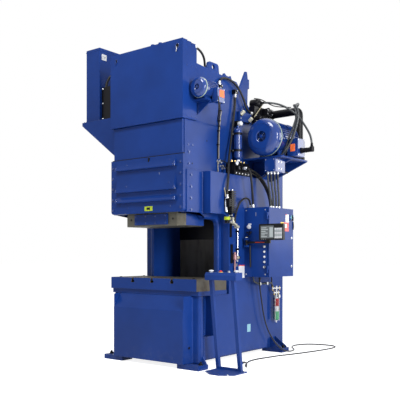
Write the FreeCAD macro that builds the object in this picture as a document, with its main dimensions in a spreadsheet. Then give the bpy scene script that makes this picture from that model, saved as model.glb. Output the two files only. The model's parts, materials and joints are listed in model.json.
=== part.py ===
"""Hydraulic gap-frame press with a side-hung motor and pump, a control cabinet and a palm-button stand.

Lengths are in millimetres. While the pieces are drawn, X runs to the press's right as seen from
the front, Y is the depth behind the plane of the frame's front, and Z is the height above the
floor. Each finished piece is then moved by its Placement, so that the origin lies on the floor,
on the centre line, half way between the front and rear anchor bolts.
"""
import FreeCAD, Part
import math
import os
import re
import sys

import Sketcher
from FreeCAD import Placement, Rotation, Vector

os.makedirs("parts", exist_ok=True)
doc = FreeCAD.newDocument("press")

SIZES = {
    # frame
    "frame_half": 530, "plate": 60, "depth": 2050, "foot_height": 54, "front_plate": 30, "skin": 20,
    "crown_front_top": 3370, "crown_mid_top": 3300, "crown_mid_depth": 1000,
    "crown_slope_top": 3050, "crown_slope_depth": 1250, "crown_rear_top": 2790,
    "jaw_bottom": 1550, "nose_depth": 300, "throat_rise": 90, "throat_run": 60,
    "throat_depth": 630, "throat_radius": 70, "edge_round": 25,
    "bed_height": 790, "lean": 110, "lean_start": 630, "bed_top_thick": 51,
    # doublers, corner columns and gib housings
    "doubler_thick": 112, "doubler_top": 2170, "doubler_front": 340, "doubler_jaw": 1700,
    "doubler_throat": 690, "doubler_bed": 400, "doubler_end": 1500, "doubler_radius": 120,
    "ledge": 340, "plinth_front": 200, "plinth_bottom": 95,
    "column_wide": 125, "column_step": 29, "column_back": 130, "housing_thick": 30,
    "back_low": 640, "back_high": 1810, "throat_back": 1140, "rear_low": 340,
    # port on the crown's top sheet
    "port_in": 30, "port_y": 500, "port_radius": 24, "port_high": 45,
    # lifting ears, clamp and lug
    "ear_front": 430, "ear_long": 225, "ear_high": 90, "ear_hole": 26, "ear_thick": 30,
    "ear_round": 38, "ear_lead": 25, "ear_trail": 15,
    "clamp_front": 735, "clamp_long": 170, "clamp_side": 25, "clamp_slope": 60, "clamp_high": 42,
    "clamp_low": 22,
    "lug_front": 1060, "lug_top": 3470, "lug_thick": 25, "lug_long": 180, "lug_tip": 32,
    "lug_point": 85, "lug_drop": 200, "lug_nose": 28, "lug_undercut": 10, "lug_bevel": 18,
    # feet and anchor bolts
    "foot_in": 110, "foot_out": 190, "foot_length": 170, "foot_front": 30, "foot_rear": 1720,
    "anchor_out": 155, "anchor_radius": 14,
    # front covers
    "cover_lap": 23, "cover_proud": 30, "cover_depth": 210, "cover_bottom": 2713,
    "cover_top": 3565, "cover_rear_top": 3500, "cover_wall": 23,
    "roof_wide": 45, "roof_long": 60, "roof_first": 10, "roof_pitch": 70, "roof_deep": 30,
    "roof_step": 8, "plug_left": 15, "plug_right": 136, "plug_high": 50,
    "middle_in": 8, "apron_lap": 19, "apron_proud": 20, "apron_bottom": 1707, "apron_top": 2329,
    "apron_round": 35, "lip_in": 83, "lip_proud": 36, "lip_edge": 14,
    "upper_lip": 2205, "upper_lip_high": 95, "middle_lip": 1952, "middle_lip_high": 180,
    "lower_lip": 1833, "lower_lip_high": 62,
    "bolt_head": 14, "bolt_high": 9, "bolt_in": 30, "bolt_drop": 85, "bolt_pitch": 122,
    "side_bolt_rise": 30, "side_bolt_pitch": 126,
    # bolster
    "bolster_lap": 126, "bolster_front": 80, "bolster_depth": 540, "bolster_thick": 134,
    "slot_pitch": 300, "slot_neck": 28, "slot_wide": 48, "slot_neck_deep": 30, "slot_deep": 54,
    # slide, guides and cylinder
    "slide_clear": 84, "slide_front": 80, "slide_depth": 440, "slide_bottom": 1560,
    "slide_shoulder": 1720, "slide_top": 2300, "slide_neck": 300, "way_wide": 60, "way_high": 30,
    "way_end": 20, "way_gap": 0.5, "gib_bottom": 1750, "gib_top": 2350, "slide_chamfer": 8,
    "shank_radius": 32, "shank_length": 100,
    "face_half": 250, "face_thick": 20, "face_bottom": 1578, "face_top": 1698,
    "crosshead_bottom": 2450, "crosshead_thick": 120, "crosshead_depth": 900,
    "barrel_radius": 150, "barrel_bore": 100, "barrel_bottom": 2370, "barrel_top": 3250,
    "flange_radius": 215, "flange_thick": 50, "gland_long": 60, "bore_gap": 0.5,
    "rod_radius": 70, "piston_long": 100, "piston_top": 3150,
    # oil tank on its bracket, and the cooler beside it
    "tank_out": 590, "tank_gap": 350, "tank_front": 100, "tank_depth": 600, "tank_high": 900,
    "bracket_front": 50, "bracket_depth": 680, "bracket_out": 610, "bracket_top": 2870,
    "bracket_lip": 40, "bracket_foot": 2380, "cooler_gap": 90, "cooler_front": 60,
    "cooler_long": 300, "cooler_high": 290, "cooler_neck": 90, "cooler_neck_high": 30,
    # main motor and pump
    "motor_out": 330, "motor_z": 2620, "cowl_front": 1020, "cowl_radius": 220, "cowl_long": 120,
    "cowl_wall": 5, "cowl_boss": 50, "cowl_raise": 6, "cowl_shoulder": 30, "shield": 16,
    "stator_radius": 188, "fin_radius": 208, "fin_thick": 5, "fin_root": 6, "fin_count": 24,
    "stator_end": 1540, "shaft_radius": 24, "shaft_seat": 60, "fan_gap": 0.5,
    "hub_long": 30, "hub_thick": 30, "blade_long": 26, "blade_share": 0.78, "fan_back": 50,
    "bell_radius": 80, "bell_rim": 40, "bell_seat": 22, "bell_collar": 16, "bell_end": 1700,
    "pump_radius": 78, "pump_end": 1880,
    "pad_inner": 90, "pad_outer": 150, "pad_inset": 60, "pad_rise": 45,
    "box_in": 170, "box_out": 315, "box_long": 170, "box_rear": 40, "box_low": 220, "box_high": 10,
    "elbow_radius": 28, "elbow_y": 1410, "elbow_drop": 150, "elbow_long": 160, "elbow_high": 35,
    "socket_back": 20,
    "motor_shelf": 2395, "shelf_thick": 20, "shelf_out": 555, "shelf_rear": 1720,
    "shelf_lead": 20, "gusset_front": 1345, "gusset_thick": 20, "gusset_foot": 60,
    "pipe_radius": 50, "pipe_out": 482, "pipe_y": 1640, "pipe_z": 3000, "pipe_bend": 110,
    "pipe_flange": 20, "flange_high": 16,
    # junction box under the shelf
    "case_left": 10, "case_right": 140, "case_front": 1110, "case_rear": 1330, "case_high": 165,
    "lever_x": 120, "lever_drop": 150, "lever_radius": 8, "lever_start": 1320, "lever_long": 100,
    # pilot motor
    "pilot_out": 140, "pilot_z": 3040, "pilot_front": 60, "pilot_radius": 107,
    "pilot_cowl_long": 60, "pilot_wall": 4, "pilot_boss": 32, "pilot_shoulder": 14,
    "pilot_body": 92, "pilot_fin": 99, "pilot_fins": 18, "pilot_end": 330, "pilot_pump_end": 450,
    "pilot_pump": 50, "pilot_shaft": 12, "pilot_seat": 40, "pilot_fan": 26, "pilot_hub": 12,
    "pilot_fan_back": 30, "pilot_blade_share": 0.55,
    "pilot_box_in": 77, "pilot_box_out": 145, "pilot_box_front": 90, "pilot_box_rear": 40,
    "pilot_box_low": 150, "pilot_box_high": 10, "pilot_pad": 55, "pilot_pad_lead": 30,
    "pilot_pad_trail": 20, "pilot_drop": 20, "pilot_pad_rise": 25, "pilot_deck": 60,
    "pilot_deck_thick": 16, "pilot_web": 140,
    # hydraulics on the right side
    "bottle_out": 70, "bottle_y": 926, "bottle_radius": 49, "bottle_neck": 24,
    "bottle_bottom": 2336, "bottle_top": 2760, "bottle_end": 30, "strap_half": 30,
    "strap_high": 30, "strap_in": 60,
    "manifold_front": 780, "manifold_rear": 1080, "manifold_high": 150, "manifold_wide": 125,
    "coil_radius": 22, "coil_long": 55, "coil_first": 45, "coil_pitch": 70, "coils": 4,
    "fitting_wide": 52, "fitting_long": 54, "fitting_low": 3140, "fitting_high": 3190,
    "deck_fitting": 598, "side_fitting": 900,
    "stack_front": 620, "stack_wide": 90, "stack_bottom": 1710, "stack_top": 1970,
    "stack_ribs": 12, "stack_groove": 12, "groove_side": 6, "rib_share": 0.55,
    "port_front": 590, "port_wide": 50, "port_bottom": 1780, "port_top": 1880, "joint_wide": 30,
    "joint_bottom": 1790, "joint_top": 1830, "joint_lap": 10,
    "valves_front": 1260, "valves_rear": 1700, "valves_bottom": 2850, "valves_thick": 80,
    "valves_top": 3060, "top_coil_long": 90, "top_coil_first": 35, "top_coil_pitch": 80,
    "top_coil_rise": 50, "top_coils": 3, "dome_y": 1370, "dome_rise": 40, "dome_radius": 60,
    "dome_in": 30, "dome_long": 140,
    # control cabinet
    "cabinet_front": 1000, "cabinet_rear": 1550, "cabinet_bottom": 980, "cabinet_top": 1790,
    "cabinet_deep": 318, "cabinet_wall": 4, "door_thick": 22, "door_gap": 0.5, "door_rim": 12,
    "door_skin": 2,
    "hinge_radius": 9, "hinge_out": 10, "hinge_long": 40, "hinge_low": 1030, "hinge_high": 1650,
    "hinge_gap": 0.3, "hinge_tab": 30, "tab_clear": 4, "pin_radius": 4, "pin_gap": 0.05,
    "pin_short": 4,
    "handle_y": 1500, "handle_z": 1690, "handle_radius": 24, "handle_gap": 0.5,
    "handle_long": 16, "handle_stem": 6, "stem_long": 24, "stem_in": 20, "grip_half": 9,
    "grip_low": 44, "grip_high": 30, "grip_thick": 17.5,
    "hmi_out": 58, "hmi_z": 1380, "hmi_reach": 330, "hmi_wide": 320, "hmi_high": 185,
    "hmi_deep": 45, "hmi_left": 120, "hmi_rise": 26, "window_edge": 22, "window_low": 20,
    "window_share": 0.62, "window_deep": 4,
    "arm_out": 40, "arm_half": 12, "arm_radius": 14, "arm_low": 30, "arm_drop": 10, "arm_rise": 14,
    "arm_riser": 40, "yoke_half": 26, "yoke_out": 60, "yoke_gap": 0.4, "yoke_thick": 20,
    "button_in": 283, "button_top": 1333, "button_pitch": 59, "button_radius": 11,
    "button_gap": 0.4, "button_travel": 6, "button_proud": 4, "button_rear": 14, "buttons": 4,
    "bush": 5, "selector_z": 1097, "selector_proud": 14, "wing_half": 3, "wing_long": 10,
    "wing_high": 8,
    # air unit
    "air_y": 1785, "air_out": 66, "bowl_radius": 38, "air_pipe": 14, "air_bottom": 370,
    "air_top": 850, "drain_radius": 10, "drain_long": 20, "bowl_end": 160, "waist": 12,
    "waist_in": 8, "bowls_top": 320, "holder_half": 30, "holder_low": 155, "holder_high": 177,
    "knob_radius": 20, "knob_rise": 166, "knob_boss": 9, "knob_seat": 10, "knob_gap": 0.4,
    "knob_long": 28,
    # palm-button stand
    "stand_left": 820, "stand_right": 1106, "post_wide": 40, "post_foot_y": 235,
    "post_lean": 125, "base_left": 785, "base_right": 1165, "base_front": -35, "base_rear": 300,
    "base_cut": 130, "cut_share": 0.75, "base_rim": 26, "rim_lead": 8, "rim_thick": 24,
    "base_thick": 12, "box_bottom": 975, "box_top": 1055, "box_left": 785, "box_right": 1185,
    "box_front": 55, "box_rim": 175, "box_slope": 20, "box_fall": 30, "palm_radius": 27,
    "palm_stem": 14, "palm_thick": 16, "stem_deep": 26, "well_deep": 40, "palm_travel": 8,
    "palm_clear": 2, "stop_x": 945, "stop_radius": 17, "stop_stem": 11, "stop_thick": 12,
    # round lines
    "hose": 26, "conduit": 24, "cord": 16, "gland": 14, "gland_low": 950, "gland_x": 700,
    "gland_y": 1240, "cord_end_y": 290, "cord_end_z": 100, "gland_seat": 35,
}

# Places that follow from the sizes
PLACES = {
    "cover_half": "frame_half + cover_lap",
    "middle_half": "frame_half - middle_in",
    "apron_half": "frame_half + apron_lap",
    "lip_half": "frame_half - lip_in",
    "column_half": "frame_half + column_wide",
    "bolster_half": "frame_half + bolster_lap",
    "slide_half": "frame_half - plate - slide_clear",
    "foot_inner": "frame_half - foot_in",
    "foot_outer": "frame_half + foot_out",
    "anchor_x": "frame_half + anchor_out",
    "tank_outer": "frame_half + tank_out",
    "tank_inner": "frame_half + tank_gap",
    "bracket_outer": "frame_half + bracket_out",
    "shelf_outer": "frame_half + shelf_out",
    "motor_x": "frame_half + motor_out",
    "pipe_x": "frame_half + pipe_out",
    "pilot_x": "frame_half + pilot_out",
    "bottle_x": "frame_half + bottle_out",
    "air_x": "frame_half + air_out",
    "cabinet_back": "frame_half + doubler_thick",
    "cabinet_mouth": "cabinet_back + cabinet_deep",
    "button_x": "cabinet_back + button_in",
    "hmi_x": "cabinet_back + hmi_out",
    "bolster_top": "bed_height + bed_top_thick + bolster_thick",
    "slide_middle": "slide_front + slide_depth / 2",
    "origin_depth": "foot_front + foot_length / 2 + (foot_rear - foot_front) / 2",
}

sheet = doc.addObject("Spreadsheet::Sheet", "Sizes")
NAMES = {**SIZES, **{place: "=" + text for place, text in PLACES.items()}}
for row, (size_name, size_value) in enumerate(NAMES.items(), 1):
    sheet.set(f"A{row}", size_name)
    sheet.setAlias(f"B{row}", size_name)
    sheet.set(f"B{row}", str(size_value))
doc.recompute()

PIECES = []
LOW_Y = {}


def cell(text):
    """Lead each size's name in an expression with the sheet's name."""
    def led(match):
        return f"Sizes.{match.group()}" if match.group() in NAMES else match.group()
    return re.sub(r"[a-z][a-z_]*", led, str(text))


def value(text):
    """The present number of an expression in the sheet's sizes."""
    return float(sheet.evalExpression(cell(text)))


def point(x, y, z):
    """A vector from three expressions."""
    return Vector(value(x), value(y), value(z))


def finish(piece, label):
    """Label a finished piece and carry it from the drawing's depths to the origin."""
    piece.Label = label
    if piece.Label != label:
        sys.exit(f"another object already holds the label {label}")
    start = LOW_Y.get(piece.Name, "0")
    piece.setExpression("Placement.Base.y", cell(f"({start}) - origin_depth"))
    PIECES.append(piece)
    return piece


# ---------------------------------------------------------------- Part primitives

def block(name, x, y, z):
    """A box between low and high expressions on each axis."""
    box = doc.addObject("Part::Box", name)
    for side, axis, (low, high) in zip(("Length", "Width", "Height"), "xyz", (x, y, z)):
        box.setExpression(side, cell(f"({high}) - ({low})"))
        box.setExpression(f"Placement.Base.{axis}", cell(low))
    LOW_Y[box.Name] = y[0]
    return box


TURNS = {"X": Rotation(Vector(0, 1, 0), 90), "Y": Rotation(Vector(1, 0, 0), -90), "Z": Rotation()}


def rod(name, along, start, radius, length):
    """A cylinder from a start point along +X, +Y or +Z."""
    bar = doc.addObject("Part::Cylinder", name)
    bar.Placement = Placement(Vector(), TURNS[along])
    bar.setExpression("Radius", cell(radius))
    bar.setExpression("Height", cell(length))
    for axis, text in zip("xyz", start):
        bar.setExpression(f"Placement.Base.{axis}", cell(text))
    LOW_Y[bar.Name] = start[1]
    return bar


def fused(name, shapes):
    """One solid from shapes that share faces or overlap."""
    union = doc.addObject("Part::MultiFuse", name)
    union.Shapes = shapes
    union.Refine = True
    return union


def cut(name, base, tools):
    """A base with one or more tools taken away."""
    result = doc.addObject("Part::Cut", name)
    result.Base = base
    result.Tool = tools[0] if len(tools) == 1 else fused(name + "_tools", tools)
    result.Refine = True
    return result


def group(name, shapes):
    """Separate solids under one name."""
    together = doc.addObject("Part::Compound", name)
    together.Links = shapes
    return together


def hexagon(name, along, start, radius, high):
    """A bolt head that stands on its start point along +X, -Y or +Z."""
    head = doc.addObject("Part::Prism", name)
    head.Polygon = 6
    turn = {"X": TURNS["X"], "-Y": Rotation(Vector(1, 0, 0), 90), "Z": TURNS["Z"]}[along]
    head.Placement = Placement(Vector(), turn)
    head.setExpression("Circumradius", cell(radius))
    head.setExpression("Height", cell(high))
    for axis, text in zip("xyz", start):
        head.setExpression(f"Placement.Base.{axis}", cell(text))
    return head


# ---------------------------------------------------------------- PartDesign bodies

def new_body(name):
    """An empty body."""
    return doc.addObject("PartDesign::Body", name)


def sketch_on(body, plane, offset=("0", "0", "0")):
    """A sketch on one of the body's own origin planes, shifted by bound offsets."""
    support = next(f for f in body.Origin.OriginFeatures if f.Role == plane + "_Plane")
    sketch = body.newObject("Sketcher::SketchObject", body.Name + "_sketch")
    sketch.AttachmentSupport = (support, [""])
    sketch.MapMode = "FlatFace"
    for axis, text in zip("xyz", offset):
        if text != "0":
            sketch.setExpression(f"AttachmentOffset.Base.{axis}", cell(text))
    return sketch


def bind(sketch, kind, geometry, vertex, text):
    """Hold one coordinate of a vertex, measured from the sketch's origin, at an expression."""
    index = sketch.addConstraint(Sketcher.Constraint(kind, -1, 1, geometry, vertex, value(text)))
    sketch.setExpression(f"Constraints[{index}]", cell(text))


def outline(sketch, corners):
    """A closed run of straight lines through corners, each a pair of expressions."""
    first = sketch.GeometryCount
    ends = [Vector(value(a), value(b), 0) for a, b in corners]
    total = len(corners)
    for index in range(total):
        sketch.addGeometry(Part.LineSegment(ends[index], ends[(index + 1) % total]), False)
    for index in range(total):
        following = first + (index + 1) % total
        sketch.addConstraint(Sketcher.Constraint("Coincident", first + index, 2, following, 1))
    for index, (a, b) in enumerate(corners):
        bind(sketch, "DistanceX", first + index, 1, a)
        bind(sketch, "DistanceY", first + index, 1, b)


def circle(sketch, centre, radius):
    """A circle whose centre and radius are bound."""
    middle = Vector(value(centre[0]), value(centre[1]), 0)
    index = sketch.addGeometry(Part.Circle(middle, Vector(0, 0, 1), value(radius)), False)
    bind(sketch, "DistanceX", index, 3, centre[0])
    bind(sketch, "DistanceY", index, 3, centre[1])
    held = sketch.addConstraint(Sketcher.Constraint("Radius", index, value(radius)))
    sketch.setExpression(f"Constraints[{held}]", cell(radius))


def start_offset(plane, low, high):
    """Offset of a sketch whose pad runs from low to high: XZ sketches look along -Y."""
    return ("0", "0", f"-1 * ({high})") if plane == "XZ" else ("0", "0", low)


def pad(body, plane, corners, low, high):
    """Add a straight prism with the given outline between two levels."""
    sketch = sketch_on(body, plane, start_offset(plane, low, high))
    outline(sketch, corners)
    feature = body.newObject("PartDesign::Pad", body.Name + "_pad")
    feature.Profile = sketch
    feature.setExpression("Length", cell(f"({high}) - ({low})"))
    doc.recompute()
    return feature


def pocket(body, plane, corners, low, high, circles=()):
    """Cut a straight prism, or round holes, between two levels, and check that it cuts."""
    before = body.Shape.Volume
    sketch = sketch_on(body, plane, start_offset(plane, low, high))
    if corners:
        outline(sketch, corners)
    for centre, radius in circles:
        circle(sketch, centre, radius)
    feature = body.newObject("PartDesign::Pocket", body.Name + "_pocket")
    feature.Profile = sketch
    feature.Reversed = True
    feature.setExpression("Length", cell(f"({high}) - ({low})"))
    doc.recompute()
    if body.Shape.Volume > before - 1:
        sys.exit(f"the pocket in {body.Name} cuts nothing")
    return feature


def lines_along(shape, axis, first, second):
    """Names of the straight edges that run along an axis at two given coordinates."""
    other = [index for index in range(3) if index != axis]
    names = []
    for number, edge in enumerate(shape.Edges, 1):
        if not isinstance(edge.Curve, (Part.Line, Part.LineSegment)):
            continue
        ends = [vertex.Point for vertex in edge.Vertexes]
        there = all(abs(end[other[0]] - first) < 0.01 and abs(end[other[1]] - second) < 0.01
                    for end in ends)
        if there and abs(ends[0][axis] - ends[-1][axis]) > 0.1:
            names.append(f"Edge{number}")
    return names


def round_edges(body, axis, places, radius, kind="Fillet"):
    """Fillet or chamfer the body's edges along an axis at the given places."""
    base = body.Tip
    names = []
    for first, second in places:
        found = lines_along(base.Shape, axis, value(first), value(second))
        if not found:
            sys.exit(f"no edge to round on {body.Name} at {first}, {second}")
        names += found
    feature = body.newObject("PartDesign::" + kind, body.Name + "_" + kind.lower())
    feature.Base = (base, names)
    feature.setExpression("Radius" if kind == "Fillet" else "Size", cell(radius))
    doc.recompute()
    return feature


def turned(body, along, centre, profile):
    """Revolve a profile of (place along the axis, radius) pairs about an axis at a centre."""
    if along == "Y":
        sketch = sketch_on(body, "YZ", ("0", centre[1], centre[0]))
        outline(sketch, profile)
        line = "H_Axis"
    elif along == "X":
        sketch = sketch_on(body, "XY", ("0", centre[0], centre[1]))
        outline(sketch, profile)
        line = "H_Axis"
    else:
        sketch = sketch_on(body, "XZ", (centre[0], "0", f"-1 * ({centre[1]})"))
        outline(sketch, [(radius, place) for place, radius in profile])
        line = "V_Axis"
    feature = body.newObject("PartDesign::Revolution", body.Name + "_turn")
    feature.Profile = sketch
    feature.ReferenceAxis = (sketch, [line])
    doc.recompute()
    return feature


# ---------------------------------------------------------------- round lines: hoses and cords

TUBE_SIDES = 8


def ring(centre, axis, radius):
    """A regular outline with its corners on a circle about a centre, square to an axis."""
    upright = Vector(0, 0, 1) if abs(axis.z) < abs(axis.y) else Vector(0, 1, 0)
    across = axis.cross(upright).normalize() * radius
    turns = [Rotation(axis, 360 * (side + 0.5) / TUBE_SIDES) for side in range(TUBE_SIDES)]
    corners = [centre + turn.multVec(across) for turn in turns]
    return Part.makePolygon(corners + corners[:1])


def tube(points, diameter, label):
    """An eight-sided tube of straight runs and tangent arcs, each arc as large as its runs allow."""
    runs = [points[i + 1] - points[i] for i in range(len(points) - 1)]
    edges = []
    radii = []
    here = points[0]
    for index in range(1, len(points) - 1):
        before, after = Vector(runs[index - 1]), Vector(runs[index])
        shorter = min(before.Length, after.Length)
        before.normalize()
        after.normalize()
        turn = math.acos(max(-1.0, min(1.0, before.dot(after))))
        back = 0.45 * shorter
        radii.append(back / math.tan(turn / 2))
        arc_in = points[index] - before * back
        arc_out = points[index] + after * back
        towards = (after - before).normalize()
        centre = points[index] + towards * math.hypot(back, radii[-1])
        middle = centre - towards * radii[-1]
        edges.append(Part.LineSegment(here, arc_in).toShape())
        edges.append(Part.Arc(arc_in, middle, arc_out).toShape())
        here = arc_out
    edges.append(Part.LineSegment(here, points[-1]).toShape())
    path = Part.Wire(edges)
    section = ring(points[0], runs[0], diameter / 2)
    solid = path.makePipeShell([section], True, False)
    expected = Part.Face(section).Area * path.Length
    print(f"{label}: length {path.Length:.0f}, least radius {min(radii):.0f}, "
          f"volume / (section x length) {solid.Volume / expected:.4f}")
    return solid


def free_shape(name, shape):
    """A document object that holds a shape made from the sheet's sizes."""
    feature = doc.addObject("Part::Feature", name)
    feature.Shape = shape
    return feature


# ---------------------------------------------------------------- frame

def side_plates():
    """The two C-shaped main plates, with the throat cut in and a rounded throat edge."""
    top = "jaw_bottom + throat_rise"
    corners = [("front_plate", "foot_height"), ("depth", "foot_height"),
               ("depth", "crown_rear_top"), ("crown_slope_depth", "crown_slope_top"),
               ("crown_mid_depth", "crown_mid_top"), ("front_plate", "crown_front_top"),
               ("front_plate", "jaw_bottom"), ("nose_depth", "jaw_bottom"),
               ("nose_depth + throat_run", top), ("throat_depth", top),
               ("throat_depth", "bed_height"), ("lean + front_plate", "bed_height"),
               ("front_plate", "lean_start")]
    spans = {"left": ("-1 * frame_half", "plate - frame_half"),
             "right": ("frame_half - plate", "frame_half")}
    for side, (low, high) in spans.items():
        body = new_body("side_plate_" + side)
        pad(body, "YZ", corners, low, high)
        round_edges(body, 0, [("throat_depth", top)], "throat_radius")
        outer = low if side == "left" else high
        round_edges(body, 2, [(outer, "throat_depth")], "edge_round")
        finish(body, "side_plate_" + side)


def doublers():
    """The thick outer plates that stiffen the throat, stepped down to a plinth at the front."""
    corners = [("plinth_front", "plinth_bottom"), ("doubler_end", "plinth_bottom"),
               ("doubler_end", "doubler_top"), ("doubler_front", "doubler_top"),
               ("doubler_front", "doubler_jaw"), ("doubler_throat", "doubler_jaw"),
               ("doubler_throat", "bed_height"), ("doubler_bed", "bed_height"),
               ("doubler_bed", "ledge"), ("plinth_front", "ledge")]
    outer = "frame_half + doubler_thick"
    spans = {"left": (f"-1 * ({outer})", "-1 * frame_half"), "right": ("frame_half", outer)}
    for side, (low, high) in spans.items():
        body = new_body("doubler_" + side)
        pad(body, "YZ", corners, low, high)
        round_edges(body, 0, [("doubler_throat", "doubler_jaw")], "doubler_radius")
        finish(body, "doubler_" + side)


def bed():
    """The bent front plate, the plate under the bolster and the folded corner columns."""
    body = new_body("bed_front_plate")
    corners = [("0", "foot_height"), ("front_plate", "foot_height"),
               ("front_plate", "lean_start"), ("lean + front_plate", "bed_height"),
               ("lean", "bed_height"), ("0", "lean_start")]
    pad(body, "YZ", corners, "-1 * frame_half", "frame_half")
    finish(body, "bed_front_plate")

    top = block("bed_top_plate", ("-1 * column_half", "column_half"), ("lean", "throat_depth"),
                ("bed_height", "bed_height + bed_top_thick"))
    finish(top, "bed_top_plate")

    columns = []
    for side, sign in (("left", "-1"), ("right", "1")):
        column = new_body("bed_column_" + side)
        corners = [(f"{sign} * frame_half", "0"),
                   (f"{sign} * (frame_half + column_step)", "column_back"),
                   (f"{sign} * column_half", "column_back"),
                   (f"{sign} * column_half", "plinth_front"),
                   (f"{sign} * frame_half", "plinth_front")]
        pad(column, "XY", corners, "foot_height", "bed_height")
        round_edges(column, 2, [(f"{sign} * column_half", "column_back")], "edge_round")
        columns.append(column)
    finish(group("bed_columns", columns), "bed_columns")


def closures():
    """The plates that close the throat, the back and the top between the side plates."""
    inner = ("plate - frame_half", "frame_half - plate")
    back = block("throat_back_plate", inner, ("throat_back", "throat_back + skin"),
                 ("back_low", "back_high"))
    finish(back, "throat_back_plate")
    rear = block("rear_plate", inner, ("depth - skin", "depth"),
                 ("rear_low", "crown_rear_top - skin"))
    finish(rear, "rear_plate")
    body = new_body("crown_top_sheet")
    bends = [("front_plate", "crown_front_top"), ("crown_mid_depth", "crown_mid_top"),
             ("crown_slope_depth", "crown_slope_top"), ("depth", "crown_rear_top")]
    under = [(y, f"{z} - skin") for y, z in reversed(bends)]
    pad(body, "YZ", bends + under, *inner)
    boss = rod("crown_port", "Z", ("frame_half - plate - port_in", "port_y", "crown_mid_top"),
               "port_radius", "port_high")
    finish(fused("crown_top", [body, boss]), "crown_top_plate")
    head = block("crosshead_block", inner, ("front_plate", "crosshead_depth"),
                 ("crosshead_bottom", "crosshead_bottom + crosshead_thick"))
    bore = rod("crosshead_bore", "Z", ("0", "slide_middle", "crosshead_bottom"),
               "barrel_radius + bore_gap", "crosshead_thick")
    finish(cut("crosshead", head, [bore]), "crosshead")


def feet():
    """Four welded feet, each with an anchor hole outside the frame."""
    pads = []
    for side, sign in (("left", -1), ("right", 1)):
        for end in ("foot_front", "foot_rear"):
            x = ("foot_inner", "foot_outer") if sign > 0 else ("-1 * foot_outer", "-1 * foot_inner")
            name = f"{end}_{side}"
            plate = block(name + "_plate", x, (end, f"{end} + foot_length"), ("0", "foot_height"))
            hole = rod(name + "_hole", "Z", (f"{sign} * anchor_x", f"{end} + foot_length / 2", "0"),
                       "anchor_radius", "foot_height")
            pads.append(cut(name, plate, [hole]))
    finish(group("feet", pads), "feet")


def bolster():
    """The bolster plate with three T-slots from front to back."""
    top = "bolster_top"
    body = new_body("bolster")
    pad(body, "XY", [("-1 * bolster_half", "bolster_front"), ("bolster_half", "bolster_front"),
                     ("bolster_half", "bolster_front + bolster_depth"),
                     ("-1 * bolster_half", "bolster_front + bolster_depth")],
        "bed_height + bed_top_thick", top)
    span = ("bolster_front", "bolster_front + bolster_depth")
    for place in (-1, 0, 1):
        middle = f"{place} * slot_pitch"
        neck = [(f"{middle} - slot_neck / 2", top),
                (f"{middle} - slot_neck / 2", f"{top} - slot_neck_deep"),
                (f"{middle} - slot_wide / 2", f"{top} - slot_neck_deep"),
                (f"{middle} - slot_wide / 2", f"{top} - slot_deep"),
                (f"{middle} + slot_wide / 2", f"{top} - slot_deep"),
                (f"{middle} + slot_wide / 2", f"{top} - slot_neck_deep"),
                (f"{middle} + slot_neck / 2", f"{top} - slot_neck_deep"),
                (f"{middle} + slot_neck / 2", top)]
        pocket(body, "XZ", neck, *span)
    finish(body, "bolster")


# ---------------------------------------------------------------- front covers

def covers():
    """The sheet cover over the crown, the flat middle cover and the apron with its three lips."""
    body = new_body("crown_cover_shell")
    pad(body, "YZ", [("-1 * cover_proud", "cover_bottom"), ("cover_depth", "cover_bottom"),
                     ("cover_depth", "cover_rear_top"), ("-1 * cover_proud", "cover_top")],
        "-1 * cover_half", "cover_half")
    pocket(body, "YZ", [("cover_wall - cover_proud", "cover_bottom"), ("cover_depth", "cover_bottom"),
                        ("cover_depth", "cover_rear_top - cover_wall"),
                        ("cover_wall - cover_proud", "cover_top - 1.4 * cover_wall")],
           "-1 * frame_half", "frame_half")
    blocks = []
    for step in range(3):
        low = f"{step} * roof_pitch - roof_first"
        blocks.append(block(f"roof_block_{step}", ("cover_half - roof_wide", "cover_half"),
                            (low, f"{low} + roof_long"),
                            ("cover_rear_top - roof_deep", f"cover_top - {step + 0.5} * roof_step")))
    plugs = [hexagon(place, "Z", (place, "cover_depth / 3", "cover_top - plug_high"),
                     "2 * bolt_head", "plug_high") for place in ("plug_left", "plug_right")]
    finish(fused("crown_cover_welded", [body] + blocks + plugs), "crown_cover")

    middle = block("middle_cover", ("-1 * middle_half", "middle_half"), ("0", "front_plate"),
                   ("apron_top", "cover_bottom"))
    finish(middle, "middle_cover")

    apron = new_body("apron")
    pad(apron, "XZ", [("-1 * apron_half", "apron_bottom"), ("apron_half", "apron_bottom"),
                      ("apron_half", "apron_top"), ("-1 * apron_half", "apron_top")],
        "-1 * apron_proud", "front_plate")
    round_edges(apron, 1, [("-1 * apron_half", "apron_bottom"), ("apron_half", "apron_bottom")],
                "apron_round")
    for bottom in ("upper_lip", "middle_lip", "lower_lip"):
        pad(apron, "YZ", [("-1 * apron_proud", bottom),
                          ("-1 * apron_proud", f"{bottom} + {bottom}_high"),
                          ("-1 * (apron_proud + lip_proud)", f"{bottom} + lip_edge"),
                          ("-1 * (apron_proud + lip_proud)", bottom)],
            "-1 * lip_half", "lip_half")
    finish(apron, "apron")


def cover_bolts():
    """The hexagon heads of the cover and gib bolts."""
    heads = []
    for side, sign in (("left", "-1"), ("right", "1")):
        for step in range(5):
            start = (f"{sign} * (apron_half - bolt_in)", "-1 * apron_proud",
                     f"apron_top - bolt_drop - {step} * bolt_pitch")
            heads.append(hexagon(f"apron_bolt_{side}_{step}", "-Y", start, "bolt_head", "bolt_high"))
    for step in range(6):
        seat = "frame_half" if step < 2 else "frame_half + housing_thick"
        start = (seat, "plinth_front / 2", f"apron_top + side_bolt_rise - {step} * side_bolt_pitch")
        heads.append(hexagon(f"housing_bolt_{step}", "X", start, "bolt_head", "bolt_high"))
    finish(group("cover_bolts", heads), "cover_bolts")


# ---------------------------------------------------------------- slide, guides and cylinder

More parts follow.
